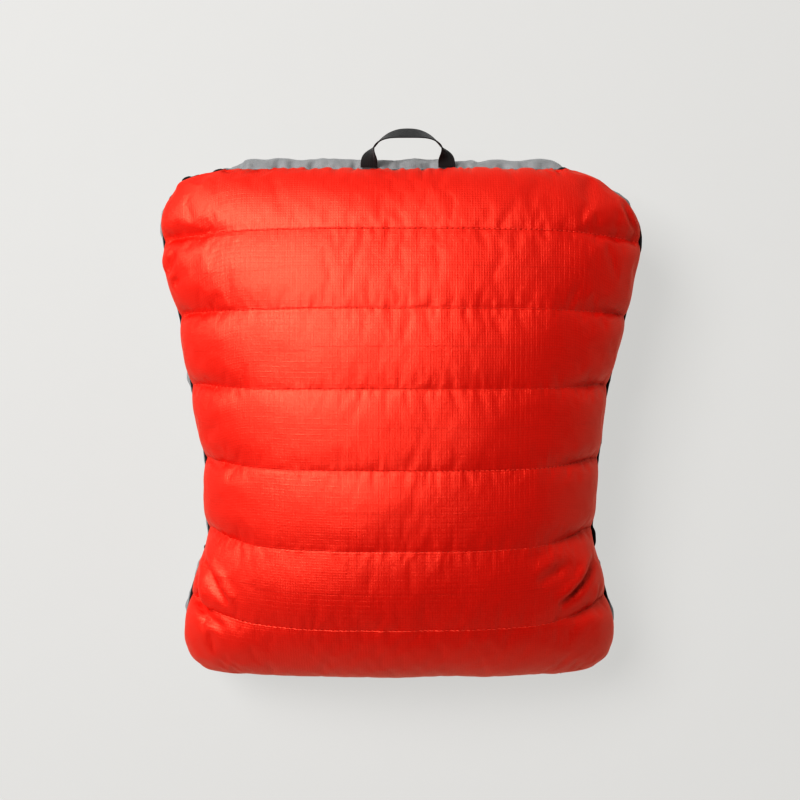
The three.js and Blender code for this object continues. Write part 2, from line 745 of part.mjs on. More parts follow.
const foldHalf = (FOLD_PITCH - FOLD_GAP) / 2;
const coreHalf = foldHalf - FABRIC_THICKNESS - LAYER_GAP;
addMesh('folded_blanket_face', foldedLayer(foldHalf - FABRIC_THICKNESS, foldHalf), 'face');
addMesh('folded_blanket_insulation', foldedLayer(-coreHalf, coreHalf), 'batting');
addMesh('folded_blanket_lining', foldedLayer(-foldHalf, FABRIC_THICKNESS - foldHalf), 'lining');

export default group;
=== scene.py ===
"""The looks of a quilted camp blanket that is packed into its own pocket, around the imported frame.

Everything is in metres. The pillow lies on its plain back on z = 0 with the quilted face up,
+Y towards the end with the carry handle, and +X to the right.
"""

import json
import math

import bmesh
import bpy
import numpy as np
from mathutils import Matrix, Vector, noise


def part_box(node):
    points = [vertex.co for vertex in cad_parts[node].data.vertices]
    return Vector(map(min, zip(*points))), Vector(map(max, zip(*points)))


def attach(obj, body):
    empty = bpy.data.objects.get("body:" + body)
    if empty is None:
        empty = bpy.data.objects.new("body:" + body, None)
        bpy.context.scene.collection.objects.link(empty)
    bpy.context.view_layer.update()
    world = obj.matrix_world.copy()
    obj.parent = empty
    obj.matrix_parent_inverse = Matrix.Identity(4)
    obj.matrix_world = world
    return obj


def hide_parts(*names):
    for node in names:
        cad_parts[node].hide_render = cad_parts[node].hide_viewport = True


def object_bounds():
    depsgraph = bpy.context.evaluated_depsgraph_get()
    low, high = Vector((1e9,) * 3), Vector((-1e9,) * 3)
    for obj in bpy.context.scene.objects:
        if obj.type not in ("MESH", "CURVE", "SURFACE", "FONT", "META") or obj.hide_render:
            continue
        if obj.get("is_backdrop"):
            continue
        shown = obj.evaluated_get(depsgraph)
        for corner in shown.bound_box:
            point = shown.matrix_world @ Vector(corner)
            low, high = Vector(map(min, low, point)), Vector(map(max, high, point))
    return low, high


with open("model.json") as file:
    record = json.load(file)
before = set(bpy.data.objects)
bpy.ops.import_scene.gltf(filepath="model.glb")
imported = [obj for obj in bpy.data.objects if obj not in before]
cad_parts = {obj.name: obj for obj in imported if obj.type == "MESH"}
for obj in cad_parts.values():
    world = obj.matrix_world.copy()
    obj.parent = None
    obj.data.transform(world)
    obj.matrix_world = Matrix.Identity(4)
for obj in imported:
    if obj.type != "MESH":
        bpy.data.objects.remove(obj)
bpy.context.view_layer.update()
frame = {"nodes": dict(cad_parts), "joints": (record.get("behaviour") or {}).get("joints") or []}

MM = 0.001

# ---- sizes taken from the frame -------------------------------------------------------------

FACE_LOW, FACE_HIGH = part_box("front_face_fabric")
SEAM_LOW, SEAM_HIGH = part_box("seam_binding")
SEAM_HALF = 1.2 * MM
TOP_Y = FACE_HIGH[1]
BOTTOM_Y = FACE_LOW[1]
CROWN_Z = FACE_HIGH[2]
TOP_SEAM_Z = SEAM_HIGH[2] - SEAM_HALF
BOTTOM_SEAM_Z = SEAM_LOW[2] + SEAM_HALF
MID_Y = (TOP_Y + BOTTOM_Y) / 2
HALF_LENGTH = (TOP_Y - BOTTOM_Y) / 2
BACK_EDGE_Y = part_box("back_outer_fabric")[1][1]
COIL_BOXES = np.array([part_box("zipper_coil_front"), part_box("zipper_coil_back")])
ZIPPER_Y, ZIPPER_Z = COIL_BOXES.mean(axis=(0, 1))[1:]

# ---- shape of the pocket --------------------------------------------------------------------

ROUNDNESS_ALONG = 2.8
ROUNDNESS_ACROSS = 2.2
TOP_HALF = 156 * MM

# Half widths at places along the pocket, from the bottom seam to the top seam
LEFT_OUTLINE = (
    (-254, 150), (-250, 174), (-242, 188), (-226, 198), (-205, 199), (-180, 195.5), (-155, 187.5),
    (-134, 179), (-100, 179.3), (-55, 179.8), (0, 189), (44, 196.5), (77, 201), (108, 209),
    (140, 213.5), (162, 214.2), (175, 210), (186, 202.5), (197, 193), (207, 156),
)
RIGHT_OUTLINE = (
    (-254, 150), (-250, 170), (-242, 186), (-226, 196), (-205, 198), (-180, 192.5), (-155, 186),
    (-134, 178.8), (-100, 179.6), (-55, 182.5), (0, 188.5), (44, 197.5), (77, 205.5), (108, 211),
    (140, 218), (162, 214), (175, 205.5), (186, 191.5), (197, 176), (207, 150),
)

# Quilt lines from the bottom up: place in the middle, and how far their ends lie above that
QUILT_LINES = ((-199, 20), (-129, 12), (-60, 7), (9, 4), (78, -3), (147, -5))
LINE_BEND = 4.5
STITCH_PITCH = 4.55 * MM

MIDDLE_DEPTH = 1.1 * MM
SIDE_DEPTH = 9.5 * MM
CHANNEL_POWER = 3.4
SIDE_POWER = 0.4
RIM_EASE = 0.7
START_ROUGHNESS = 0.35 * MM

# Where on the face a change sets in and is full: across it from 0 in the middle to 1 at the
# seam, or, for the ends, by the crown's height from 0 at the seam to 1
DEEP_LINES = (0.5, 0.86)
SHALLOW_RIM = (0.9, 1.0)
STILL_RIM = (0.9, 0.985)
STILL_MIDDLE = (0.45, 0.8)
STILL_ENDS = (0.05, 0.35)

EVEN_PART = 0.6
CHANNEL_ROWS = 14
END_ROWS = 20
COLUMNS = 150

# Folds in the fabric: path in the plan, width, depth, and height of the lip on its left
FOLDS = (
    (((-178, -139), (-168, -158), (-152, -181)), 3.4, 5.0, 2.6),
    (((-172, -148), (-163, -157), (-155, -162)), 2.6, 2.8, 1.6),
    (((-183, -150), (-186, -166), (-182, -183), (-172, -193), (-155, -202)), 3.6, 5.2, 2.4),
    (((139, -181), (151, -173), (162, -163), (170, -152), (176, -139)), 3.6, 6.0, 3.0),
    (((119, -160), (137, -149), (150, -142)), 5.0, 2.6, 2.0),
    (((174, -186), (179, -176), (181, -165)), 2.4, 2.6, 1.8),
    (((-206, 112), (-204, 122), (-198, 131)), 3.2, 4.0, 1.6),
    (((-201, 101), (-195, 108)), 2.8, 2.8, 1.2),
    (((198, 176), (206, 160), (214, 146)), 3.4, 4.0, -1.2),
    (((-178, -52), (-168, -55), (-157, -62)), 3.0, 2.0, 1.2),
)

# Back: size of the flat patch, and the ring between it and the bulge
REST_SPREAD = 0.72
UNDER_SPREAD = 0.92
UNDER_BULGE = 0.6
UNDER_RISE = 0.19
BULGE_RISE = 0.571
SIDE_BULGE = 0.2 * MM
RING_COLUMNS = 400
FLAT_RINGS = 14
UNDER_RINGS = 8
UPPER_RINGS = 9
WINDOW_STEPS = (0.0, 0.13, 0.26, 0.39, 0.61, 0.74, 0.87, 1.0)
WINDOW_ROW = 3
WINDOW_HALF = 139 * MM
WINDOW_PUFF = 2.2 * MM
# Half the window, and half of what is held beside it, as shares of the flat it lies in
WINDOW_GAP = 0.11
HELD_GAP = 0.2
# Where the bulge under the top seam falls back, from the middle out: from, to, by what share
TOP_FALLS = ((70, 130, 0.06), (139, 157, 0.6))
ZIPPER_REACH = (15 * MM, 34 * MM)
# The way the zipper faces, out and down, in y and z
ZIPPER_FACES = (0.846, -0.533)

PANEL_WALL = 6 * MM

# How far waves and ripples in the cloth go
FACE_WAVES = 0.9 * MM
LINE_RIPPLE = 0.45 * MM
BACK_BROAD_WAVES = 1.2 * MM
BACK_SHORT_WAVES = 1.6 * MM
BACK_SEAM_WAVES = 1.1 * MM
# How far the back lies in, under the top seam
TOP_DROP = 1.5 * MM
# The back's waves run up its wall: their noise is taken round a circle of this radius, and
# this much slower up the wall
WAVE_CIRCLE = 0.24
WAVE_STRETCH = 0.3
SEED_STEP = 17.3
NOISE_GAIN = 1.6


def smoothstep(low, high, value):
    part = np.clip((value - low) / (high - low), 0, 1)
    return part * part * (3 - 2 * part)


def curve_through(table, places):
    """Smooth curve through a table of (place, value) in millimetres, at places in metres."""
    xs, ys = np.array(table, float).T * MM
    slopes = np.gradient(ys, xs)
    index = np.clip(np.searchsorted(xs, places) - 1, 0, len(xs) - 2)
    step = xs[index + 1] - xs[index]
    t = np.clip((places - xs[index]) / step, 0, 1)
    return (
        (1 + 2 * t) * (1 - t) ** 2 * ys[index]
        + t * (1 - t) ** 2 * step * slopes[index]
        + t * t * (3 - 2 * t) * ys[index + 1]
        - t * t * (1 - t) * step * slopes[index + 1]
    )


def half_width(y, side):
    return np.where(side < 0, curve_through(LEFT_OUTLINE, y), curve_through(RIGHT_OUTLINE, y))


def seam_z(y):
    return BOTTOM_SEAM_Z + (TOP_SEAM_Z - BOTTOM_SEAM_Z) * (y - BOTTOM_Y) / (2 * HALF_LENGTH)


def crown_along(y):
    along = np.clip(np.abs(y - MID_Y) / HALF_LENGTH, 0, 1)
    return (1 - along**ROUNDNESS_ALONG) ** (1 / ROUNDNESS_ALONG)


def noise_at(points, size, seed):
    """Smooth noise, nearly from -1 to 1, at an array of points, with features of about size."""
    shape = points.shape[:-1]
    flat = points.reshape(-1, 3) / size + seed * SEED_STEP
    return np.array([noise.noise(Vector(p)) for p in flat]).reshape(shape) * NOISE_GAIN


def grid_normals(points, ring=False):
    """Unit normals of a grid of points, on the side that a right-hand turn faces."""
    if ring:
        wide = np.concatenate([points[:, -1:], points, points[:, :1]], axis=1)
        along = (wide[:, 2:] - wide[:, :-2])
    else:
        along = np.gradient(points, axis=1)
    normals = np.cross(along, np.gradient(points, axis=0))
    return normals / np.maximum(np.linalg.norm(normals, axis=2, keepdims=True), 1e-12)


def refine(points, ring=False):
    """A grid with twice as many cells each way, on a smooth curve through the old points."""

    def doubled(grid, wrap):
        if wrap:
            before, after = np.roll(grid, 1, 0), np.roll(grid, -1, 0)
            after2 = np.roll(grid, -2, 0)
        else:
            before = np.concatenate([2 * grid[:1] - grid[1:2], grid[:-1]])
            after = np.concatenate([grid[1:], 2 * grid[-1:] - grid[-2:-1]])
            after2 = np.concatenate([after[1:], 2 * after[-1:] - after[-2:-1]])
        middle = (9 * (grid + after) - before - after2) / 16
        out = np.empty((2 * len(grid),) + grid.shape[1:])
        out[0::2] = grid
        out[1::2] = middle
        return out if wrap else out[:-1]

    rows = doubled(points, False)
    return np.swapaxes(doubled(np.swapaxes(rows, 0, 1), ring), 0, 1)


# ---- meshes ---------------------------------------------------------------------------------


def add_object(name, mesh):
    piece = bpy.data.objects.new(name, mesh)
    bpy.context.scene.collection.objects.link(piece)
    return piece


def mesh_from(name, points, faces, uv=None, face_slots=None):
    """A smooth-shaded mesh object; uv is one pair for each point."""
    mesh = bpy.data.meshes.new(name)
    mesh.from_pydata(np.asarray(points).tolist(), [], faces)
    mesh.polygons.foreach_set("use_smooth", [True] * len(mesh.polygons))
    if face_slots is not None:
        mesh.polygons.foreach_set("material_index", face_slots)
    if uv is not None:
        layer = mesh.uv_layers.new(name="fabric")
        corners = np.empty(len(mesh.loops), dtype=np.int32)
        mesh.loops.foreach_get("vertex_index", corners)
        layer.data.foreach_set("uv", np.asarray(uv, np.float32)[corners].ravel())
    mesh.validate()
    mesh.update()
    return add_object(name, mesh)


def grid_faces(rows, columns, offset=0, ring=False, flip=False, skip=None):
    """Faces of a grid of points with rows x columns points."""
    faces = []
    last = columns if ring else columns - 1
    for row in range(rows - 1):
        for column in range(last):
            if skip is not None and skip[row, column]:
                continue
            after = (column + 1) % columns
            a = offset + row * columns + column
            b = offset + row * columns + after
            c = offset + (row + 1) * columns + after
            d = offset + (row + 1) * columns + column
            faces.append((a, d, c, b) if flip else (a, b, c, d))
    return faces


def boundary_walls(faces, layer):
    """Quads that join each open edge of the faces to the same edge of a second layer."""
    edges = {}
    for face in faces:
        for a, b in zip(face, face[1:] + face[:1]):
            if (b, a) in edges:
                del edges[(b, a)]
            else:
                edges[(a, b)] = True
    return [(b, a, a + layer, b + layer) for a, b in edges]


def path_lengths(path):
    """The length along a path at each of its points."""
    return np.concatenate([[0], np.cumsum(np.linalg.norm(np.diff(path, axis=0), axis=1))])


def arc_lengths(points, axis):
    """The length along each row or column of a grid of points."""
    steps = np.linalg.norm(np.diff(points, axis=axis), axis=2)
    total = np.cumsum(steps, axis=axis)
    zero = np.zeros_like(np.take(total, [0], axis=axis))
    return np.concatenate([zero, total], axis=axis)


# ---- cloth ----------------------------------------------------------------------------------


def inflate(name, points, faces, pinned, calm, pressure, growth, cap, frames=20):
    """The points after the cloth between its pinned ones has been blown up.

    Where calm is 0 a point stays, and elsewhere it moves no further than the cap.
    """
    shape = points.shape
    cloth_piece = mesh_from(name, points.reshape(-1, 3), faces)
    group = cloth_piece.vertex_groups.new(name="pinned")
    for weight in np.unique(pinned[pinned > 0]):
        group.add(np.flatnonzero(pinned.ravel() == weight).tolist(), float(weight), "REPLACE")
    cloth = cloth_piece.modifiers.new("cloth", "CLOTH")
    settings = cloth.settings
    settings.quality = 5
    settings.mass = 0.3
    settings.tension_stiffness = 15
    settings.compression_stiffness = 15
    settings.shear_stiffness = 5
    settings.bending_stiffness = 0.6
    settings.tension_damping = 25
    settings.compression_damping = 25
    settings.air_damping = 3
    settings.use_pressure = True
    settings.uniform_pressure_force = pressure
    settings.shrink_min = -growth
    settings.vertex_group_mass = "pinned"
    settings.effector_weights.gravity = 0
    cloth.collision_settings.use_collision = False
    cloth.point_cache.frame_start = 1
    cloth.point_cache.frame_end = frames
    for step in range(1, frames + 1):
        bpy.context.scene.frame_set(step)
    evaluated = cloth_piece.evaluated_get(bpy.context.evaluated_depsgraph_get())
    moved = np.empty(len(evaluated.data.vertices) * 3)
    evaluated.data.vertices.foreach_get("co", moved)
    moved = moved.reshape(shape) - points
    bpy.data.objects.remove(cloth_piece)
    bpy.context.scene.frame_set(1)
    length = np.linalg.norm(moved, axis=2, keepdims=True)
    capped = cap * np.tanh(length / cap) / np.maximum(length, 1e-9)
    return points + moved * calm[..., None] * capped


# ---- folds and puckers ----------------------------------------------------------------------


def fold_offset(plan, path, width, depth, lip):
    """How far a fold moves points along their normals: a valley, with a lip on its left side."""
    path = np.array(path) * MM
    width, depth, lip = width * MM, depth * MM, lip * MM
    lengths = np.linalg.norm(np.diff(path, axis=0), axis=1)
    starts = path_lengths(path)
    best = np.full(plan.shape[:-1], 1e9)
    gap = np.zeros_like(best)
    along = np.zeros_like(best)
    for i, length in enumerate(lengths):
        direction = (path[i + 1] - path[i]) / length
        offset = plan - path[i]
        part = np.clip(offset @ direction, 0, length)
        away = offset - part[..., None] * direction
        distance = np.linalg.norm(away, axis=-1)
        signed = direction[0] * offset[..., 1] - direction[1] * offset[..., 0]
        nearer = distance < best
        best = np.where(nearer, distance, best)
        gap = np.where(nearer, np.sign(signed) * distance, gap)
        along = np.where(nearer, (starts[i] + part) / starts[-1], along)
    taper = np.sin(np.clip(along, 0, 1) * math.pi) ** 0.6
    valley = -depth * np.exp(-((gap / width) ** 2))
    ridge = lip * np.exp(-(((gap - 2 * width) / (1.4 * width)) ** 2))
    return (valley + ridge) * taper


def seam_puckers(x, distance, seed, count, reach, depth):
    """Short gathers that run away from a seam, at seeded places along it."""
    rng = np.random.default_rng(seed)
    offset = np.zeros(np.broadcast(x, distance).shape)
    for _ in range(count):
        place = rng.uniform(-TOP_HALF, TOP_HALF)
        width = rng.uniform(1.6, 3.2) * MM
        length = rng.uniform(0.4, 1.0) * reach
        strength = rng.uniform(0.4, 1.0) * depth
        lean = rng.uniform(-0.15, 0.15)
        across = (x - place - lean * distance) / width
        fade = np.exp(-((distance / length) ** 2))
        offset -= strength * fade * np.exp(-across * across)
    return offset


# ---- front panel ----------------------------------------------------------------------------


def crown_profile(columns):
    """Points across the crown, from -1 to 1 in x and 0 to 1 in z, evenly spaced along it."""
    angle = np.linspace(-math.pi / 2, math.pi / 2, 4001)
    x = np.sign(angle) * np.abs(np.sin(angle)) ** (2 / ROUNDNESS_ACROSS)
    z = np.clip(np.cos(angle), 0, 1) ** (2 / ROUNDNESS_ACROSS)
    shape = half_width(0.0, 1) * x, (CROWN_Z - seam_z(0.0)) * z
    length = np.concatenate([[0], np.cumsum(np.hypot(np.diff(shape[0]), np.diff(shape[1])))])
    even = np.linspace(0, length[-1], columns + 1)
    return np.interp(even, length, x), np.interp(even, length, z)


def channel_rows():
    """Rows of the quilted face: channel, place across the channel, y in the middle, end lift."""
    borders = [(BOTTOM_Y, 0.0)]
    borders += [(y * MM, lift * MM) for y, lift in QUILT_LINES]
    borders += [(TOP_Y, 0.0)]
    rows = []
    for channel in range(len(borders) - 1):
        low, high = borders[channel], borders[channel + 1]
        is_end = channel in (0, len(borders) - 2)
        count = END_ROWS if is_end else CHANNEL_ROWS
        for step in range(count):
            part = step / count
            if channel == 0:
                place = 1 - math.cos(part * math.pi / 2)
            elif is_end:
                place = math.sin(part * math.pi / 2)
            else:
                eased = (1 - EVEN_PART) / 2 * (1 - math.cos(part * math.pi))
                place = EVEN_PART * part + eased
            y = low[0] + (high[0] - low[0]) * place
            rows.append((channel, place, y, low[1] + (high[1] - low[1]) * place))
    rows.append((len(borders) - 2, 1.0, TOP_Y, 0.0))
    return rows


def front_grid():
    """The quilted face before it is blown up.

    Its points, which of them are sewn down, how freely each may move, and which rows are
    quilt lines.
    """
    across_x, across_z = crown_profile(COLUMNS)
    place = np.abs(np.linspace(-1, 1, COLUMNS + 1))
    rows = channel_rows()
    channel, part, middle_y, lift = (column[:, None] for column in np.array(rows).T)
    y = middle_y + lift * np.abs(across_x) ** LINE_BEND
    width = half_width(y, across_x)
    height = (CROWN_Z - seam_z(y) - SEAM_HALF) * crown_along(y) * across_z
    points = np.stack([across_x * width, y, seam_z(y) + SEAM_HALF + height], axis=2)

    side = smoothstep(*DEEP_LINES, place)
    rim = 1 - RIM_EASE * smoothstep(*SHALLOW_RIM, place)
    depth = (MIDDLE_DEPTH + (SIDE_DEPTH - MIDDLE_DEPTH) * side) * rim
    power = CHANNEL_POWER + SIDE_POWER * side
    from_middle = np.abs(2 * part - 1)
    last = len(QUILT_LINES)
    seam_half = ((channel == 0) & (part < 0.5)) | ((channel == last) & (part > 0.5))
    from_middle = np.where(seam_half, 0, from_middle)
    fade = np.minimum(1, crown_along(y) * 2)
    points -= grid_normals(points) * (depth * fade * from_middle**power)[..., None]

    sewn = np.zeros(points.shape[:2])
    on_line = ((part == 0) & (channel > 0)).ravel()
    sewn[on_line] = 1
    sewn[[0, 1, -2, -1]] = 1
    sewn[:, [0, 1, 2, -3, -2, -1]] = 1
    calm = 1 - smoothstep(*STILL_RIM, place) - 0.5 * (1 - smoothstep(*STILL_MIDDLE, place))
    calm = calm * smoothstep(*STILL_ENDS, crown_along(y))
    rough = START_ROUGHNESS * calm * noise_at(points, size=12 * MM, seed=9)
    points += grid_normals(points) * rough[..., None]
    return points, sewn, calm, on_line


def line_gaps(lines, points):
    """Distance of every point from the nearest quilt line, along its own column."""
    places = arc_lengths(points, 0)
    gaps = np.full(points.shape[:2], 1.0)
    for row in lines:
        gap = places - places[row]
        gaps = np.where(np.abs(gap) < np.abs(gaps), gap, gaps)
    return gaps


def face_wrinkles(fine, across, along, gaps):
    """How far folds, gathers, puckers and waves move the quilted face along its normals."""
    offset = np.zeros(fine.shape[:2])
    for path, width, depth, lip in FOLDS:
        offset += fold_offset(fine[..., :2], path, width, depth, lip)
    x = fine[..., 0]
    to_top = along[-1][None, :] - along
    offset += seam_puckers(x, to_top, seed=3, count=70, reach=26 * MM, depth=2.6 * MM)
    offset += seam_puckers(x, along, seed=5, count=30, reach=12 * MM, depth=1.0 * MM)
    by_lines = np.stack([across, gaps * 0.35, gaps * 0], axis=2)
    ripple = noise_at(by_lines, size=5.5 * MM, seed=1)
    offset += LINE_RIPPLE * ripple * np.exp(-np.abs(gaps) / (7 * MM))
    offset += FACE_WAVES * noise_at(fine, size=55 * MM, seed=2)
    off_seam = np.minimum(1, np.minimum(to_top, along) / (4 * MM))
    rim = np.abs(np.linspace(-1, 1, fine.shape[1]))
    off_seam = off_seam * (1 - smoothstep(0.985, 1.0, rim))
    return offset * (0.25 + 0.75 * off_seam)


def front_panel(materials):
    """The quilted face with its lining behind it, and the rows that its quilt lines follow."""
    points, sewn, calm, on_line = front_grid()
    rows, columns = points.shape[:2]
    faces = grid_faces(rows, columns)
    points = inflate(
        "face_cloth", points, faces, sewn, calm, pressure=2.5, growth=0.006, cap=2.5 * MM
    )
    fine = refine(points)
    lines = 2 * np.flatnonzero(on_line)
    gaps = line_gaps(lines, fine)
    across = arc_lengths(fine, 1)
    across -= across[:, fine.shape[1] // 2][:, None]
    along = arc_lengths(fine, 0)
    wrinkles = face_wrinkles(fine, across, along, gaps)
    fine = fine + grid_normals(fine) * wrinkles[..., None]

    piece = panel_mesh("front_panel", fine, np.stack([across, along], axis=2), materials)
    attribute = piece.data.attributes.new("line_gap", "FLOAT", "POINT")
    inner_gaps = np.full(len(piece.data.vertices) - gaps.size, 1.0)
    attribute.data.foreach_set("value", np.concatenate([gaps.ravel(), inner_gaps]))
    return piece, [fine[row] for row in lines]


def panel_mesh(name, fine, uv, materials, ring=False, skip=None):
    """A closed panel: the outer layer, an inner one behind it, and walls along their edges."""
    rows, columns = fine.shape[:2]
    outer_faces = grid_faces(rows, columns, ring=ring, skip=skip)
    normals = grid_normals(fine, ring)
    thickness = np.full((rows, columns), PANEL_WALL)
    thickness[[0, -1]] = PANEL_WALL / 3
    if not ring:
        thickness[:, [0, -1]] = PANEL_WALL / 3
    outer = fine.reshape(-1, 3)
    inner = (fine - normals * thickness[..., None]).reshape(-1, 3)
    pairs = uv.reshape(-1, 2)
    if ring:
        centre = rows * columns
        outer_faces += [(i, centre, (i + 1) % columns) for i in range(columns)]
        outer = np.concatenate([outer, outer[:columns].mean(axis=0, keepdims=True)])
        inner = np.concatenate([inner, inner[:columns].mean(axis=0, keepdims=True)])
        pairs = np.concatenate([pairs, [[0, 0]]])
    count = len(outer)
    inner_faces = [tuple(index + count for index in reversed(face)) for face in outer_faces]
    walls = boundary_walls(outer_faces, count)
    faces = outer_faces + inner_faces + walls
    slots = [0] * len(outer_faces) + [1] * len(inner_faces) + [0] * len(walls)
    points = np.concatenate([outer, inner])
    pairs = np.concatenate([pairs, pairs])
    piece = mesh_from(name, points, faces, pairs, slots)
    for material in materials:
        piece.data.materials.append(material)
    return piece


# ---- back panel -----------------------------------------------------------------------------


def outline_loop(count):
    """The seam's outline seen from above, anticlockwise, evenly spaced."""
    up = np.linspace(BOTTOM_Y, TOP_Y, 400)
    right = np.stack([curve_through(RIGHT_OUTLINE, up), up], axis=1)
    down = up[::-1]
    left = np.stack([-curve_through(LEFT_OUTLINE, down), down], axis=1)
    loop = np.concatenate([right, left, right[:1]])
    length = path_lengths(loop)
    even = np.linspace(0, length[-1], count, endpoint=False)
    return np.stack([np.interp(even, length, loop[:, i]) for i in (0, 1)], axis=1)


def round_level(angle, bulge, part=-1.0):
    """A level of the back where it rounds up from the ground, at an angle from it."""
    spread = REST_SPREAD + (1 - REST_SPREAD) * math.sin(angle)
    return spread, bulge, BULGE_RISE * (1 - math.cos(angle)), part


def back_levels():
    """Levels of the back, from its middle to the seam: spread, bulge, rise, and window part.

    The window part goes from 0 to 1 over the levels that lie flat around the zipper, and is
    -1 elsewhere.
    """
    levels = []
    for step in range(1, FLAT_RINGS + 1):
        levels.append((REST_SPREAD * step / FLAT_RINGS, 0.0, 0.0, -1.0))
    for step in range(1, UNDER_RINGS):
        angle = step / UNDER_RINGS * math.pi / 4
        levels.append(round_level(angle, math.sin(angle) * UNDER_BULGE / math.sin(math.pi / 4)))
    for part in WINDOW_STEPS:
        bulge = UNDER_BULGE + (1 - UNDER_BULGE) * part
        levels.append(round_level((1 + part) * math.pi / 4, bulge, part))
    for step in range(1, UPPER_RINGS + 1):
        angle = step / UPPER_RINGS * math.pi / 2
        rise = BULGE_RISE + (1 - BULGE_RISE) * math.sin(angle)
        levels.append((1.0, math.cos(angle), rise, -1.0))
    return levels


def back_grid():
    """Points of the back before it is blown up, which of them are held, and its levels."""
    loop = outline_loop(RING_COLUMNS)
    levels = back_levels()
    upward = np.clip((loop[:, 1] - MID_Y) / HALF_LENGTH, 0, 1)
    towards_top = (np.arcsin(upward) / (math.pi / 2)) ** 4
    flat_end = smoothstep(HALF_LENGTH - 2 * MM, HALF_LENGTH, loop[:, 1] - MID_Y)
    flat_end = flat_end * (1 - smoothstep(TOP_HALF - 12 * MM, TOP_HALF, np.abs(loop[:, 0])))
    rim = seam_z(loop[:, 1]) - SEAM_HALF
    out = loop - np.array([0, MID_Y])
    side = np.sign(out[:, 0]) * (1 - flat_end)
    from_centre = np.abs(loop[:, 0])
    slope = np.zeros(len(loop))
    for low, high, amount in TOP_FALLS:
        slope += amount * smoothstep(low * MM, high * MM, from_centre)
    top_bulge = (BACK_EDGE_Y - TOP_Y) * (1 - slope)
    rings = []
    held = []
    for spread, bulge, rise, part in levels:
        on_ground = rise == 0
        if part >= 0:
            flat_spread = UNDER_SPREAD + (1 - UNDER_SPREAD) * part
            flat_rise = UNDER_RISE + (BULGE_RISE - UNDER_RISE) * part
            spread = spread + (flat_spread - spread) * flat_end
            rise = rise + (flat_rise - rise) * flat_end
        x = out[:, 0] * spread + side * bulge * SIDE_BULGE
        y = MID_Y + out[:, 1] * spread + bulge * top_bulge * towards_top
        z = rim * rise + 0 * x
        if part >= 0:
            near = np.abs(part - 0.5)
            across = np.clip((near - WINDOW_GAP) / (0.5 - WINDOW_GAP), 0, 1)
            puff = WINDOW_PUFF * np.sin(across * math.pi) * flat_end
            y = y + puff * ZIPPER_FACES[0]
            z = z + puff * ZIPPER_FACES[1]
        rings.append(np.stack([x, y, z], axis=1))
        at_window = part >= 0 and abs(part - 0.5) < HELD_GAP
        if on_ground:
            held.append(np.ones(len(loop)))
        else:
            held.append((flat_end > 0.5) * 1.0 if at_window else np.zeros(len(loop)))
    held[-1] = np.ones(len(loop))
    return np.stack(rings), np.stack(held), levels


def beside_zipper(points):
    """1 on the zipper and just beside it, and 0 away from it."""
    away_x = np.maximum(np.abs(points[..., 0]) - WINDOW_HALF, 0)
    away = np.hypot(points[..., 1] - ZIPPER_Y, points[..., 2] - ZIPPER_Z)
    return 1 - smoothstep(*ZIPPER_REACH, np.hypot(away_x, away))


def back_wrinkles(fine, along):
    """How far gathers and waves move the back along its normals, off the ground and zipper."""
    to_seam = along[-1][None, :] - along
    top = smoothstep(TOP_Y - 30 * MM, TOP_Y, fine[-1, :, 1])
    wall = smoothstep(2 * MM, 14 * MM, fine[..., 2])
    gathers = seam_puckers(
        fine[..., 0], to_seam, seed=11, count=60, reach=26 * MM, depth=2.2 * MM
    )
    offset = gathers * top
    offset -= TOP_DROP * top * wall
    turn = np.linspace(0, 2 * math.pi, fine.shape[1], endpoint=False)
    around = WAVE_CIRCLE * np.stack([np.cos(turn), np.sin(turn)], axis=1)
    around = np.broadcast_to(around, fine.shape[:2] + (2,))
    flow = np.concatenate([around, along[..., None] * WAVE_STRETCH], axis=2)
    near_seam = np.exp(-to_seam / (16 * MM))
    offset += BACK_SEAM_WAVES * noise_at(flow, size=7 * MM, seed=4) * near_seam * wall
    offset += BACK_BROAD_WAVES * noise_at(fine, size=34 * MM, seed=5) * wall
    offset += BACK_SHORT_WAVES * noise_at(flow, size=17 * MM, seed=8) * wall
    return offset * (np.minimum(1, 0.2 + to_seam / (5 * MM)) * (1 - beside_zipper(fine)))


def back_panel(materials):
    """The plain back with its bulge, and the window that the zipper lies in."""
    points, held, levels = back_grid()
    rows, columns = points.shape[:2]
    window_row = [level[3] for level in levels].index(WINDOW_STEPS[WINDOW_ROW])
    middle = (points[window_row] + np.roll(points[window_row], -1, 0)) / 2
    skip = np.zeros((rows - 1, columns), bool)
    skip[window_row] = (np.abs(middle[:, 0]) < WINDOW_HALF) & (middle[:, 1] > MID_Y)
    faces = grid_faces(rows, columns, ring=True, skip=skip)
    calm = 1 - beside_zipper(points)
    calm[-3:] *= np.array([0.66, 0.33, 0.0])[:, None]
    points = inflate(
        "back_cloth", points, faces, held, calm, pressure=3, growth=0.008, cap=2.2 * MM
    )
    points[..., 2] = np.maximum(points[..., 2], 0)
    fine = refine(points, ring=True)
    fine_skip = np.repeat(np.repeat(skip, 2, axis=0), 2, axis=1)

    along = arc_lengths(fine, 0)
    fine = fine + grid_normals(fine, ring=True) * back_wrinkles(fine, along)[..., None]
    fine[..., 2] = np.maximum(fine[..., 2], 0)

    direction = fine[..., :2] - np.array([0, MID_Y])
    length = np.maximum(np.linalg.norm(direction, axis=2, keepdims=True), 1e-9)
    first_ring = np.linalg.norm(fine[0, :, :2] - np.array([0, MID_Y]), axis=1)
    uv = direction / length * (along + first_ring)[..., None]
    return panel_mesh("back_panel", fine, uv, materials, ring=True, skip=fine_skip)


# ---- seam binding ---------------------------------------------------------------------------

BINDING_OUT = 1.7 * MM
BINDING_UP = 1.25 * MM
BINDING_INSET = 2.2 * MM
BINDING_SIDES = 10
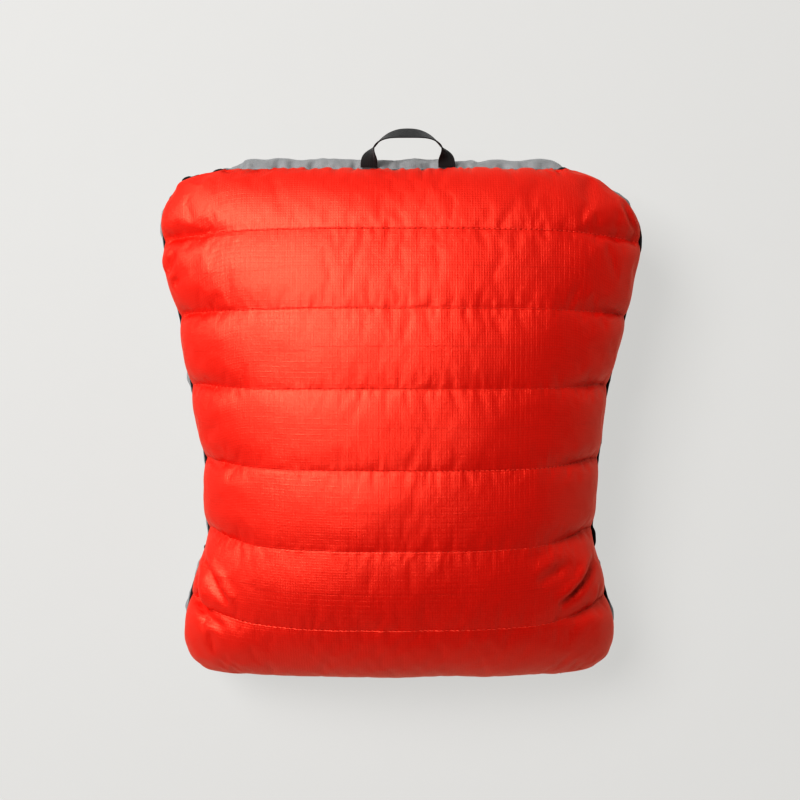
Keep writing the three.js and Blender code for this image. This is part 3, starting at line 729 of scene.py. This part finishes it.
# Where the binding shows past the panels: x, y, half its length, how far it stands out
BINDING_SHOWS = (
    (-191, 198, 5, 2.8), (-182, 201, 4, 1.6), (-163, 206, 5, 2.0), (-205, 181, 4, 1.4),
    (146, 206, 4, 2.0), (172, 197, 4, 2.0), (179, -127, 9, 3.6), (-179, -136, 3, 2.4),
)


def tube_mesh(name, centre, outward, up, out_radius, up_radius, sides):
    """A tube round a closed path: outward and up are unit vectors across it at each point."""
    angle = np.linspace(0, 2 * math.pi, sides, endpoint=False)
    ring = (
        centre[:, None]
        + outward[:, None] * (np.cos(angle)[None, :, None] * out_radius)
        + up[:, None] * (np.sin(angle)[None, :, None] * up_radius)
    )
    count = len(centre)
    points = ring.reshape(-1, 3)
    faces = []
    for row in range(count):
        after = (row + 1) % count
        for i in range(sides):
            j = (i + 1) % sides
            faces.append((row * sides + i, row * sides + j, after * sides + j, after * sides + i))
    length = path_lengths(centre)
    girth = np.linspace(0, math.pi * (out_radius + up_radius), sides)
    uv = np.stack(np.broadcast_arrays(length[:, None], girth[None, :]), axis=2).reshape(-1, 2)
    piece = mesh_from(name, points, faces, uv)
    face_outwards(piece.data)
    return piece


def face_outwards(mesh):
    """Turns the faces of a closed mesh so that they all point outwards."""
    edit = bmesh.new()
    edit.from_mesh(mesh)
    bmesh.ops.recalc_face_normals(edit, faces=edit.faces)
    edit.to_mesh(mesh)
    edit.free()


def seam_binding(material):
    """The binding in the seam all round, which shows past the panels in a few places."""
    loop = outline_loop(2 * RING_COLUMNS)
    tangent = np.roll(loop, -1, 0) - np.roll(loop, 1, 0)
    tangent /= np.linalg.norm(tangent, axis=1, keepdims=True)
    outward = np.stack([tangent[:, 1], -tangent[:, 0], 0 * tangent[:, 0]], axis=1)
    inset = np.full(len(loop), BINDING_INSET)
    for x, y, half, amount in BINDING_SHOWS:
        away = np.linalg.norm(loop - np.array([x, y]) * MM, axis=1)
        inset -= amount * MM * np.exp(-((away / (half * MM)) ** 4))
    centre = np.stack([loop[:, 0], loop[:, 1], seam_z(loop[:, 1])], axis=1)
    centre -= outward * inset[:, None]
    up = np.tile([0.0, 0.0, 1.0], (len(loop), 1))
    piece = tube_mesh(
        "binding", centre, outward, up, BINDING_OUT, BINDING_UP, BINDING_SIDES
    )
    piece.data.materials.append(material)
    return piece


# ---- repeated pieces, made by geometry nodes ------------------------------------------------


def new_tree(name, *sizes):
    """A geometry node tree whose inputs are its path, the named sizes and a material."""
    tree = bpy.data.node_groups.new(name, "GeometryNodeTree")
    inputs = [(size, "Float") for size in sizes]
    for label, kind in [("Geometry", "Geometry"), *inputs, ("Material", "Material")]:
        tree.interface.new_socket(label, in_out="INPUT", socket_type="NodeSocket" + kind)
    tree.interface.new_socket("Geometry", in_out="OUTPUT", socket_type="NodeSocketGeometry")
    return tree, tree.nodes.new("NodeGroupInput"), tree.nodes.new("NodeGroupOutput")


def feed(tree, socket, value):
    """Links another socket to this one, or sets this one to a value."""
    if isinstance(value, bpy.types.NodeSocket):
        tree.links.new(value, socket)
    else:
        socket.default_value = value


def add_node(tree, kind, links=(), **settings):
    """A node with its settings, and its inputs by name linked to sockets or set to values."""
    node = tree.nodes.new(kind)
    for key, value in settings.items():
        setattr(node, key, value)
    for key, value in dict(links).items():
        feed(tree, node.inputs[key], value)
    return node


def set_along_path(tree, start, end, shape, scale=(1, 1, 1)):
    """Sets a shape every pitch along the path, its Z along the path, and ends the tree."""
    path = add_node(tree, "GeometryNodeMeshToCurve", {"Mesh": start.outputs["Geometry"]})
    links = {"Curve": path.outputs[0], "Length": start.outputs["Pitch"]}
    places = add_node(tree, "GeometryNodeCurveToPoints", links, mode="LENGTH")
    links = {"Vector": places.outputs["Tangent"]}
    turn = add_node(tree, "FunctionNodeAlignRotationToVector", links, axis="Z")
    links = {
        "Points": places.outputs["Points"],
        "Instance": shape,
        "Rotation": turn.outputs["Rotation"],
        "Scale": scale,
    }
    laid = add_node(tree, "GeometryNodeInstanceOnPoints", links)
    realized = add_node(tree, "GeometryNodeRealizeInstances", {"Geometry": laid.outputs[0]})
    smooth = add_node(tree, "GeometryNodeSetShadeSmooth", {"Geometry": realized.outputs[0]})
    links = {"Geometry": smooth.outputs[0], "Material": start.outputs["Material"]}
    finished = add_node(tree, "GeometryNodeSetMaterial", links)
    tree.links.new(finished.outputs[0], end.inputs["Geometry"])


def stitch_tree():
    """Lays thread stitches end to end along a path."""
    tree, start, end = new_tree("stitches", "Pitch", "Length", "Width")
    width, length = start.outputs["Width"], start.outputs["Length"]
    values = {"Segments": 6, "Rings": 6, "Radius": 0.5}
    ball = add_node(tree, "GeometryNodeMeshUVSphere", values)
    size = add_node(tree, "ShaderNodeCombineXYZ", {"X": width, "Y": width, "Z": length})
    set_along_path(tree, start, end, ball.outputs["Mesh"], size.outputs["Vector"])
    return tree


def coil_tree():
    """Sets the turns of a zipper coil side by side along a path."""
    tree, start, end = new_tree("coil turns", "Pitch", "Across", "Height", "Wire")

    def circle(sides, radius):
        values = {"Resolution": sides, "Radius": radius}
        return add_node(tree, "GeometryNodeCurvePrimitiveCircle", values).outputs[0]

    values = {"X": start.outputs["Across"], "Y": start.outputs["Height"], "Z": 1.0}
    size = add_node(tree, "ShaderNodeCombineXYZ", values).outputs[0]
    links = {"Geometry": circle(10, 0.5), "Scale": size}
    oval = add_node(tree, "GeometryNodeTransform", links).outputs[0]
    links = {"Curve": oval, "Profile Curve": circle(5, start.outputs["Wire"])}
    turn = add_node(tree, "GeometryNodeCurveToMesh", links)
    set_along_path(tree, start, end, turn.outputs["Mesh"])
    return tree


def grown(name, tree, path, values):
    """The plain mesh that a tree makes from a path of points."""
    edges = [(i, i + 1) for i in range(len(path) - 1)]
    line = bpy.data.meshes.new("path")
    line.from_pydata([tuple(point) for point in path], edges, [])
    carrier = add_object("carrier", line)
    modifier = carrier.modifiers.new("grow", "NODES")
    modifier.node_group = tree
    for item in tree.interface.items_tree:
        if item.in_out == "INPUT" and item.name in values:
            modifier[item.identifier] = values[item.name]
    carrier.data.update()
    evaluated = carrier.evaluated_get(bpy.context.evaluated_depsgraph_get())
    mesh = bpy.data.meshes.new_from_object(evaluated)
    carrier.modifiers.clear()
    bpy.data.objects.remove(carrier)
    mesh.name = name
    return add_object(name, mesh)


# ---- handle ---------------------------------------------------------------------------------

HANDLE_SPAN = 69.7 * MM
HANDLE_REACH = 30 * MM
HANDLE_ROUNDNESS = 2.4
HANDLE_TILT = math.radians(10)
EDGE_ON = 90
APEX_TWIST = 56
TWIST_END = 0.2
WEBBING_WIDTH = 15 * MM
WEBBING_THICKNESS = 1.2 * MM
WEBBING_EDGE = 0.22
WEBBING_FACE = 0.5
WEBBING_STEPS = 140
WEBBING_ACROSS = 12


def handle_webbing(material, pivot):
    """The carry loop: flat webbing that turns edge-on beside each root and half back over."""
    along = np.linspace(0, 1, WEBBING_STEPS + 1)
    angle = math.pi * (1 - along)
    bend = 2 / HANDLE_ROUNDNESS
    x = HANDLE_SPAN / 2 * np.sign(np.cos(angle)) * np.abs(np.cos(angle)) ** bend
    reach = HANDLE_REACH * np.abs(np.sin(angle)) ** bend
    path = np.stack([x, reach], axis=1)
    length = path_lengths(path)
    tangent = np.gradient(path, axis=0)
    tangent /= np.linalg.norm(tangent, axis=1, keepdims=True)
    from_root = np.minimum(along, 1 - along)
    twist = EDGE_ON * smoothstep(0, TWIST_END, from_root)
    twist -= (EDGE_ON - APEX_TWIST) * smoothstep(TWIST_END, 0.5, from_root)
    twist = np.radians(twist)
    outward = np.stack([-tangent[:, 1], tangent[:, 0], 0 * x], axis=1)
    up = np.array([0.0, 0.0, 1.0])
    wide = outward * np.cos(twist)[:, None] - up * np.sin(twist)[:, None]
    flat = outward * np.sin(twist)[:, None] + up * np.cos(twist)[:, None]
    turn = np.linspace(0, 2 * math.pi, 2 * WEBBING_ACROSS, endpoint=False)
    across = np.sign(np.cos(turn)) * np.abs(np.cos(turn)) ** WEBBING_EDGE
    through = np.sign(np.sin(turn)) * np.abs(np.sin(turn)) ** WEBBING_FACE
    centre = np.stack([path[:, 0], path[:, 1], 0 * x], axis=1)
    rings = (
        centre[:, None]
        + wide[:, None] * (across[None, :, None] * WEBBING_WIDTH / 2)
        + flat[:, None] * (through[None, :, None] * WEBBING_THICKNESS / 2)
    )
    tilt = np.array(
        [
            [1, 0, 0],
            [0, math.cos(HANDLE_TILT), math.sin(HANDLE_TILT)],
            [0, -math.sin(HANDLE_TILT), math.cos(HANDLE_TILT)],
        ]
    )
    points = rings.reshape(-1, 3) @ tilt + np.array(pivot)
    sides = len(turn)
    rows = len(along)
    faces = grid_faces(rows, sides, ring=True)
    faces.append(tuple(reversed(range(sides))))
    faces.append(tuple(range((rows - 1) * sides, rows * sides)))
    uv = np.stack(
        np.broadcast_arrays(length[:, None], across[None, :] * WEBBING_WIDTH / 2), axis=2
    )
    piece = mesh_from("carry_handle", points, faces, uv.reshape(-1, 2))
    face_outwards(piece.data)
    piece.data.materials.append(material)
    return piece


# ---- folded blanket inside ------------------------------------------------------------------

FOLD_CELL = 12 * MM
FOLD_WAVE = 28 * MM
FOLD_RUMPLE = 1.5 * MM


def soft_fold(name, node, material):
    """A folded layer as soft cloth: the plain solid's mesh, merged, cut finer and rumpled."""
    edit = bmesh.new()
    edit.from_mesh(frame["nodes"][node].data)
    bmesh.ops.remove_doubles(edit, verts=edit.verts, dist=0.01 * MM)
    bmesh.ops.dissolve_limit(
        edit, angle_limit=math.radians(1), verts=edit.verts, edges=edit.edges
    )
    bmesh.ops.triangulate(edit, faces=[face for face in edit.faces if len(face.verts) > 4])
    for _ in range(2):
        long_edges = [edge for edge in edit.edges if edge.calc_length() > FOLD_CELL]
        bmesh.ops.subdivide_edges(edit, edges=long_edges, cuts=3, use_grid_fill=True)
    bmesh.ops.triangulate(edit, faces=edit.faces)
    for vert in edit.verts:
        vert.co += Vector((0, 0, 1)) * noise.noise(vert.co / FOLD_WAVE) * FOLD_RUMPLE
    bmesh.ops.recalc_face_normals(edit, faces=edit.faces)
    mesh = bpy.data.meshes.new(name)
    edit.to_mesh(mesh)
    edit.free()
    mesh.polygons.foreach_set("use_smooth", [True] * len(mesh.polygons))
    mesh.materials.append(material)
    return add_object(name, mesh)


# ---- materials ------------------------------------------------------------------------------

BLACK_CLOTH = (0.012, 0.012, 0.013)
ZIP_TURN = math.atan2(-ZIPPER_FACES[0], ZIPPER_FACES[1])


def new_material(name, roughness, specular=0.5, **shader_values):
    """A material with its own shader values; its colour and bump are made by nodes."""
    material = bpy.data.materials.new(name)
    material.use_nodes = True
    shader = material.node_tree.nodes["Principled BSDF"]
    shader.inputs["Roughness"].default_value = roughness
    shader.inputs["Specular IOR Level"].default_value = specular
    for label, value in shader_values.items():
        shader.inputs[label.replace("_", " ")].default_value = value
    return material, material.node_tree, shader


def arithmetic(tree, operation, *values):
    """The result of a Math node on values and sockets."""
    node = tree.nodes.new("ShaderNodeMath")
    node.operation = operation
    for socket, value in zip(node.inputs, values):
        feed(tree, socket, value)
    return node.outputs[0]


def line_ramp(tree, distance, width):
    """1 at a distance near zero, and 0 past the width."""
    links = {"Value": distance, "From Min": width, "From Max": width * 0.3}
    ramp = add_node(tree, "ShaderNodeMapRange", links, interpolation_type="SMOOTHSTEP")
    return ramp.outputs[0]


def bands(tree, coordinate, pitch, width):
    """1 on lines of the given width that repeat every pitch along a coordinate, 0 between."""
    return line_ramp(tree, arithmetic(tree, "PINGPONG", coordinate, pitch / 2), width)


def mixed(tree, factor, first, second):
    """A colour between two colours."""
    links = {"Factor_Float": factor, "A_Color": first, "B_Color": second}
    node = tree.nodes.new("ShaderNodeMix")
    node.data_type = "RGBA"
    for socket in node.inputs:
        if socket.identifier in links:
            feed(tree, socket, links[socket.identifier])
    return node.outputs[2]


def object_place(tree):
    return add_node(tree, "ShaderNodeTexCoord").outputs["Object"]


def noise_value(tree, vector, scale, detail=3.0, distortion=0.0):
    values = {"Vector": vector, "Scale": scale, "Detail": detail, "Distortion": distortion}
    return add_node(tree, "ShaderNodeTexNoise", values).outputs["Fac"]


def finish_shader(tree, shader, base, height, distance, strength=1.0):
    """Gives the shader its colour and its bump."""
    tree.links.new(base, shader.inputs["Base Color"])
    links = {"Height": height, "Distance": distance, "Strength": strength}
    bump = add_node(tree, "ShaderNodeBump", links)
    tree.links.new(bump.outputs[0], shader.inputs["Normal"])


def two_axes(tree, vector):
    """The first two parts of a vector."""
    parts = add_node(tree, "ShaderNodeSeparateXYZ", {"Vector": vector})
    return parts.outputs[0], parts.outputs[1]


def fabric_axes(tree):
    """The piece's own fabric coordinates in metres, and its two directions."""
    vector = add_node(tree, "ShaderNodeUVMap", uv_map="fabric").outputs[0]
    return vector, *two_axes(tree, vector)


def crossed_bands(tree, operation, axes, pitch, width):
    """Bands along both directions of a fabric, put together."""
    return arithmetic(tree, operation, *(bands(tree, axis, pitch, width) for axis in axes))


def opaque(color, scale=1.0):
    """A colour made lighter or darker, with its alpha."""
    return tuple(channel * scale for channel in color) + (1.0,)


RIPSTOP_PITCH = 2.3 * MM
RIPSTOP_LINE = 0.45 * MM
YARN_PITCH = 0.42 * MM
YARN_WIDTH = 0.2 * MM
LINE_STRENGTH = 0.3
STITCH_ROW = 0.9 * MM
STITCH_HOLE = 1.1 * MM


def ripstop(name, color, line_color, roughness, quilted=False, **shader_values):
    """Light woven nylon with a grid of thicker yarns, and stitch holes along quilt lines, darkened
    with painted shade.
    """
    material, tree, shader = new_material(name, roughness, **shader_values)
    vector, *axes = fabric_axes(tree)
    lines = crossed_bands(tree, "MAXIMUM", axes, RIPSTOP_PITCH, RIPSTOP_LINE)
    yarns = crossed_bands(tree, "MULTIPLY", axes, YARN_PITCH, YARN_WIDTH)
    patches = noise_value(tree, vector, 14.0)
    crinkle = noise_value(tree, vector, 190.0, 4.0)
    base = mixed(tree, patches, opaque(color, 0.92), opaque(color, 1.08))
    strength = arithmetic(tree, "MULTIPLY", lines, LINE_STRENGTH)
    base = mixed(tree, strength, base, opaque(line_color))
    height = arithmetic(tree, "MULTIPLY", yarns, 0.2)
    height = arithmetic(tree, "MULTIPLY_ADD", lines, 0.35, height)
    height = arithmetic(tree, "MULTIPLY_ADD", crinkle, 0.9, height)
    if quilted:
        gap = add_node(tree, "ShaderNodeAttribute", attribute_name="line_gap").outputs["Fac"]
        row = line_ramp(tree, arithmetic(tree, "ABSOLUTE", gap), STITCH_ROW)
        stitches = bands(tree, axes[0], STITCH_PITCH, STITCH_HOLE)
        holes = arithmetic(tree, "MULTIPLY", row, stitches)
        # painted shade: the stitch holes are darkened towards half the cloth's colour
        base = mixed(tree, arithmetic(tree, "MULTIPLY", holes, 0.45), base, opaque(color, 0.5))
        height = arithmetic(tree, "MULTIPLY_ADD", row, -1.2, height)
        height = arithmetic(tree, "MULTIPLY_ADD", holes, -0.9, height)
    finish_shader(tree, shader, base, height, 0.25 * MM, 0.8)
    return material


def woven_band(name, color, thread_color, rib, cord, turn=None):
    """Narrow woven goods, such as webbing and zipper tape: ribs across, cords along.

    The weave follows the piece's own fabric coordinates, or else its place, turned about X.
    """
    material, tree, shader = new_material(name, 0.75, 0.3, Sheen_Weight=0.25)
    if turn is None:
        vector, u, v = fabric_axes(tree)
    else:
        links = {"Vector": object_place(tree), "Rotation": (-turn, 0, 0)}
        vector = add_node(tree, "ShaderNodeMapping", links).outputs[0]
        u, v = two_axes(tree, vector)
    lean = arithmetic(tree, "PINGPONG", v, cord)
    slanted = arithmetic(tree, "ADD", u, lean)
    ribs = bands(tree, slanted, rib, rib * 0.45)
    cords = bands(tree, v, cord, cord * 0.3)
    worn = noise_value(tree, vector, 90.0)
    base = mixed(tree, ribs, opaque(color), opaque(thread_color))
    base = mixed(tree, arithmetic(tree, "MULTIPLY", worn, 0.5), base, opaque(color, 0.6))
    height = arithmetic(tree, "MULTIPLY_ADD", cords, -0.5, ribs)
    finish_shader(tree, shader, base, height, 0.22 * MM, 0.9)
    return material


def speckled(
    name, scale, colors, bump, roughness, specular=0.5, detail=3.0, distortion=0.0, bare=None,
    **shader_values,
):
    """A material with specks between two colours, or only where the noise is past bare."""
    material, tree, shader = new_material(name, roughness, specular, **shader_values)
    specks = noise_value(tree, object_place(tree), scale, detail, distortion)
    factor = specks
    if bare is not None:
        limits = {"Value": specks, "From Min": bare[0], "From Max": bare[1]}
        factor = add_node(tree, "ShaderNodeMapRange", limits).outputs[0]
    base = mixed(tree, factor, opaque(colors[0]), opaque(colors[1]))
    finish_shader(tree, shader, base, specks, bump)
    return material


def rumpled_cloth(name, color):
    """Folded ripstop, with its grid of yarns taken from the piece's own place, and painted shade in
    its fold hollows and painted light on the fold crests.
    """
    material, tree, shader = new_material(name, 0.5, 0.5, Sheen_Weight=0.1)
    place = object_place(tree)
    lines = crossed_bands(tree, "MAXIMUM", two_axes(tree, place), RIPSTOP_PITCH, 0.5 * MM)
    folds = noise_value(tree, place, 70.0, 5.0)
    # painted shade and light: the fold noise that makes the bump also darkens the colour in the fold
    # hollows and lightens it on the crests
    base = mixed(tree, folds, opaque(color, 0.85), opaque(color, 1.1))
    strength = arithmetic(tree, "MULTIPLY", lines, LINE_STRENGTH)
    base = mixed(tree, strength, base, opaque(color, 1.3))
    height = arithmetic(tree, "MULTIPLY_ADD", lines, 0.1, folds)
    finish_shader(tree, shader, base, height, 1.2 * MM)
    return material


# ---- putting the pieces together ------------------------------------------------------------

FACE_COLOR = (0.84, 0.014, 0.007)
FACE_LINES = (0.64, 0.009, 0.004)
LINING_COLOR = (0.31, 0.315, 0.32)
LINING_LINES = (0.24, 0.245, 0.25)
WEBBING_COLOR = (0.022, 0.022, 0.022)
COIL_PITCH = 1.25 * MM
SMALL_BEVEL = 0.25 * MM
THREAD_LIFT = 0.1 * MM

orange = ripstop(
    "orange ripstop", FACE_COLOR, FACE_LINES, 0.41, quilted=True,
    Metallic=0.3, IOR=1.7, Specular_IOR_Level=0.9, Specular_Tint=(1.0, 0.9, 0.62, 1.0),
)
grey = ripstop(
    "grey ripstop", LINING_COLOR, LINING_LINES, 0.5,
    Sheen_Weight=0.12, Sheen_Roughness=0.4,
)
black_tape = woven_band(
    "zipper tape weave", BLACK_CLOTH, (0.03, 0.03, 0.032),
    rib=0.7 * MM, cord=1.1 * MM, turn=ZIP_TURN,
)
webbing = woven_band(
    "handle webbing", WEBBING_COLOR, (0.055, 0.056, 0.056), rib=1.3 * MM, cord=1.9 * MM
)
binding_weave = woven_band(
    "binding weave", BLACK_CLOTH, (0.035, 0.036, 0.038), rib=0.9 * MM, cord=0.9 * MM
)
thread = speckled(
    "quilt thread", 900.0, ((0.80, 0.075, 0.045), (0.95, 0.15, 0.09)), 0.08 * MM,
    roughness=0.55, specular=0.4, Sheen_Weight=0.2,
)
coil_nylon = speckled(
    "coil nylon", 300.0, ((0.008, 0.008, 0.009), (0.03, 0.03, 0.032)), 0.05 * MM,
    roughness=0.34,
)
metal = speckled(
    "blackened metal", 420.0, ((0.02, 0.02, 0.022), (0.16, 0.16, 0.165)), 0.06 * MM,
    roughness=0.38, detail=5.0, bare=(0.62, 0.75), Metallic=0.6,
)
fill = speckled(
    "polyester fill", 260.0, ((0.70, 0.69, 0.66), (0.92, 0.91, 0.88)), 1.0 * MM,
    roughness=0.95, specular=0.2, detail=8.0, distortion=2.0, Sheen_Weight=0.4,
)


def keep_node(node, material):
    """A solid whose shape is right: its edges are eased and it gets its material."""
    piece = frame["nodes"][node]
    weld = piece.modifiers.new("weld", "WELD")
    weld.merge_threshold = 0.005 * MM
    bevel = piece.modifiers.new("eased edges", "BEVEL")
    bevel.width = SMALL_BEVEL
    bevel.segments = 2
    bevel.limit_method = "ANGLE"
    bevel.angle_limit = math.radians(40)
    piece.data.materials.clear()
    piece.data.materials.append(material)


def join_pocket(piece, slot, *nodes):
    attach(piece, "pocket")
    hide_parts(*nodes)


front, quilt_paths = front_panel([orange, grey])
join_pocket(front, "face_fabric", "front_face_fabric", "front_insulation", "front_lining")

back = back_panel([grey, orange])
join_pocket(back, "lining_fabric", "back_outer_fabric", "back_insulation", "back_lining")

join_pocket(seam_binding(binding_weave), "binding", "seam_binding")

STITCH_SIZES = {
    "Pitch": STITCH_PITCH, "Length": 3.1 * MM, "Width": 0.55 * MM, "Material": thread,
}
COIL_SIZES = {
    "Pitch": COIL_PITCH, "Across": 2.0 * MM, "Height": 1.6 * MM, "Wire": 0.33 * MM,
    "Material": coil_nylon,
}

stitches = stitch_tree()
for number, path in enumerate(reversed(quilt_paths), start=1):
    lifted = path[4:-4] + np.array([0, 0, THREAD_LIFT])
    row = grown(f"quilt_stitches_{number}", stitches, lifted, STITCH_SIZES)
    join_pocket(row, "quilt_thread", f"quilt_thread_{number}")

coils = coil_tree()
for side in ("front", "back"):
    low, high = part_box(f"zipper_coil_{side}")
    middle = (np.array(low) + np.array(high)) / 2
    path = [(low[0] + COIL_PITCH / 2, *middle[1:]), (high[0] - COIL_PITCH / 2, *middle[1:])]
    turns = grown(f"coil_turns_{side}", coils, path, COIL_SIZES)
    join_pocket(turns, "zipper_coil", f"zipper_coil_{side}")

for part in ("tape_front", "tape_back", "end_tab_left", "end_tab_right", "pull_tab"):
    keep_node(f"zipper_{part}", black_tape)
for part in ("stop_top", "stop_bottom", "slider_body", "pull_pin"):
    keep_node(f"zipper_{part}", metal)
for side in ("left", "right"):
    keep_node(f"handle_bartack_{side}", binding_weave)

pivot = next(joint for joint in frame["joints"] if joint["name"] == "handle_fold")["pos_m"]
carry_handle = handle_webbing(webbing, pivot)
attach(carry_handle, "handle")
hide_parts("handle_webbing")

for node, slot, material in (
    ("folded_blanket_face", "face_fabric", rumpled_cloth("folded orange cloth", FACE_COLOR)),
    ("folded_blanket_insulation", "batting", fill),
    ("folded_blanket_lining", "lining_fabric", rumpled_cloth("folded grey cloth", LINING_COLOR)),
):
    layer = soft_fold(node.replace("blanket", "layer"), node, material)
    join_pocket(layer, slot, node)


# ---- stage, light and camera ----------------------------------------------------------------

CAMERA_HEIGHT = 1.1
FLOOR_RADIUS = 3.0
STAGE_RADIUS = 6.0
STAGE_SIDES = 64
STAGE_STEPS = 12
KEY_FROM = (-0.47, 0.33, 0.81)
KEY_DISTANCE = 2.4
KEY_SIZE = 1.25
KEY_POWER = 49
WORLD_LIGHT = 0.02
FLOOR_GLOW = 0.50


def stage_bowl():
    """A pale floor that turns up into a wall far away, all round."""
    profile = [(0.0, 0.0), (FLOOR_RADIUS, 0.0)]
    rise = STAGE_RADIUS - FLOOR_RADIUS
    for step in range(1, STAGE_STEPS + 1):
        angle = step / STAGE_STEPS * math.pi / 2
        profile.append((FLOOR_RADIUS + rise * math.sin(angle), rise * (1 - math.cos(angle))))
    turn = np.linspace(0, 2 * math.pi, STAGE_SIDES, endpoint=False)
    points = [(0.0, 0.0, 0.0)]
    for radius, height in profile[1:]:
        points += [(radius * math.cos(a), radius * math.sin(a), height) for a in turn]
    faces = [(0, 1 + i, 1 + (i + 1) % STAGE_SIDES) for i in range(STAGE_SIDES)]
    faces += grid_faces(len(profile) - 1, STAGE_SIDES, offset=1, ring=True, flip=True)
    piece = mesh_from("studio_floor", points, faces)
    material, tree, shader = new_material("studio paper", 0.9, 0.1)
    grain = noise_value(tree, object_place(tree), 40.0)
    base = mixed(tree, grain, (0.120, 0.119, 0.118, 1), (0.125, 0.124, 0.123, 1))
    tree.links.new(base, shader.inputs["Base Color"])
    shader.inputs["Emission Color"].default_value = (0.79, 0.785, 0.77, 1)
    shader.inputs["Emission Strength"].default_value = FLOOR_GLOW
    piece.data.materials.append(material)
    piece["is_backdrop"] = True


def key_light():
    data = bpy.data.lights.new("key softbox", "AREA")
    data.shape = "SQUARE"
    data.size = KEY_SIZE
    data.energy = KEY_POWER
    lamp = bpy.data.objects.new("key softbox", data)
    direction = Vector(KEY_FROM).normalized()
    lamp.location = direction * KEY_DISTANCE + Vector((0, 0, CROWN_Z / 2))
    lamp.rotation_euler = direction.to_track_quat("Z", "Y").to_euler()
    bpy.context.scene.collection.objects.link(lamp)


def room_light():
    world = bpy.data.worlds.new("studio")
    world.use_nodes = True
    background = world.node_tree.nodes["Background"]
    background.inputs["Color"].default_value = (1.0, 0.995, 0.98, 1)
    background.inputs["Strength"].default_value = WORLD_LIGHT
    bpy.context.scene.world = world


def camera():
    data = bpy.data.cameras.new("camera")
    data.lens = 50
    data.sensor_width = 36
    data.clip_start = 0.01
    data.clip_end = 50
    eye = bpy.data.objects.new("camera", data)
    eye.location = (0, 0, CAMERA_HEIGHT)
    bpy.context.scene.collection.objects.link(eye)
    bpy.context.scene.camera = eye


stage_bowl()
key_light()
room_light()
camera()
bpy.context.scene.view_settings.view_transform = "Standard"
bpy.context.scene.view_settings.look = "Very High Contrast"

low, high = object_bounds()
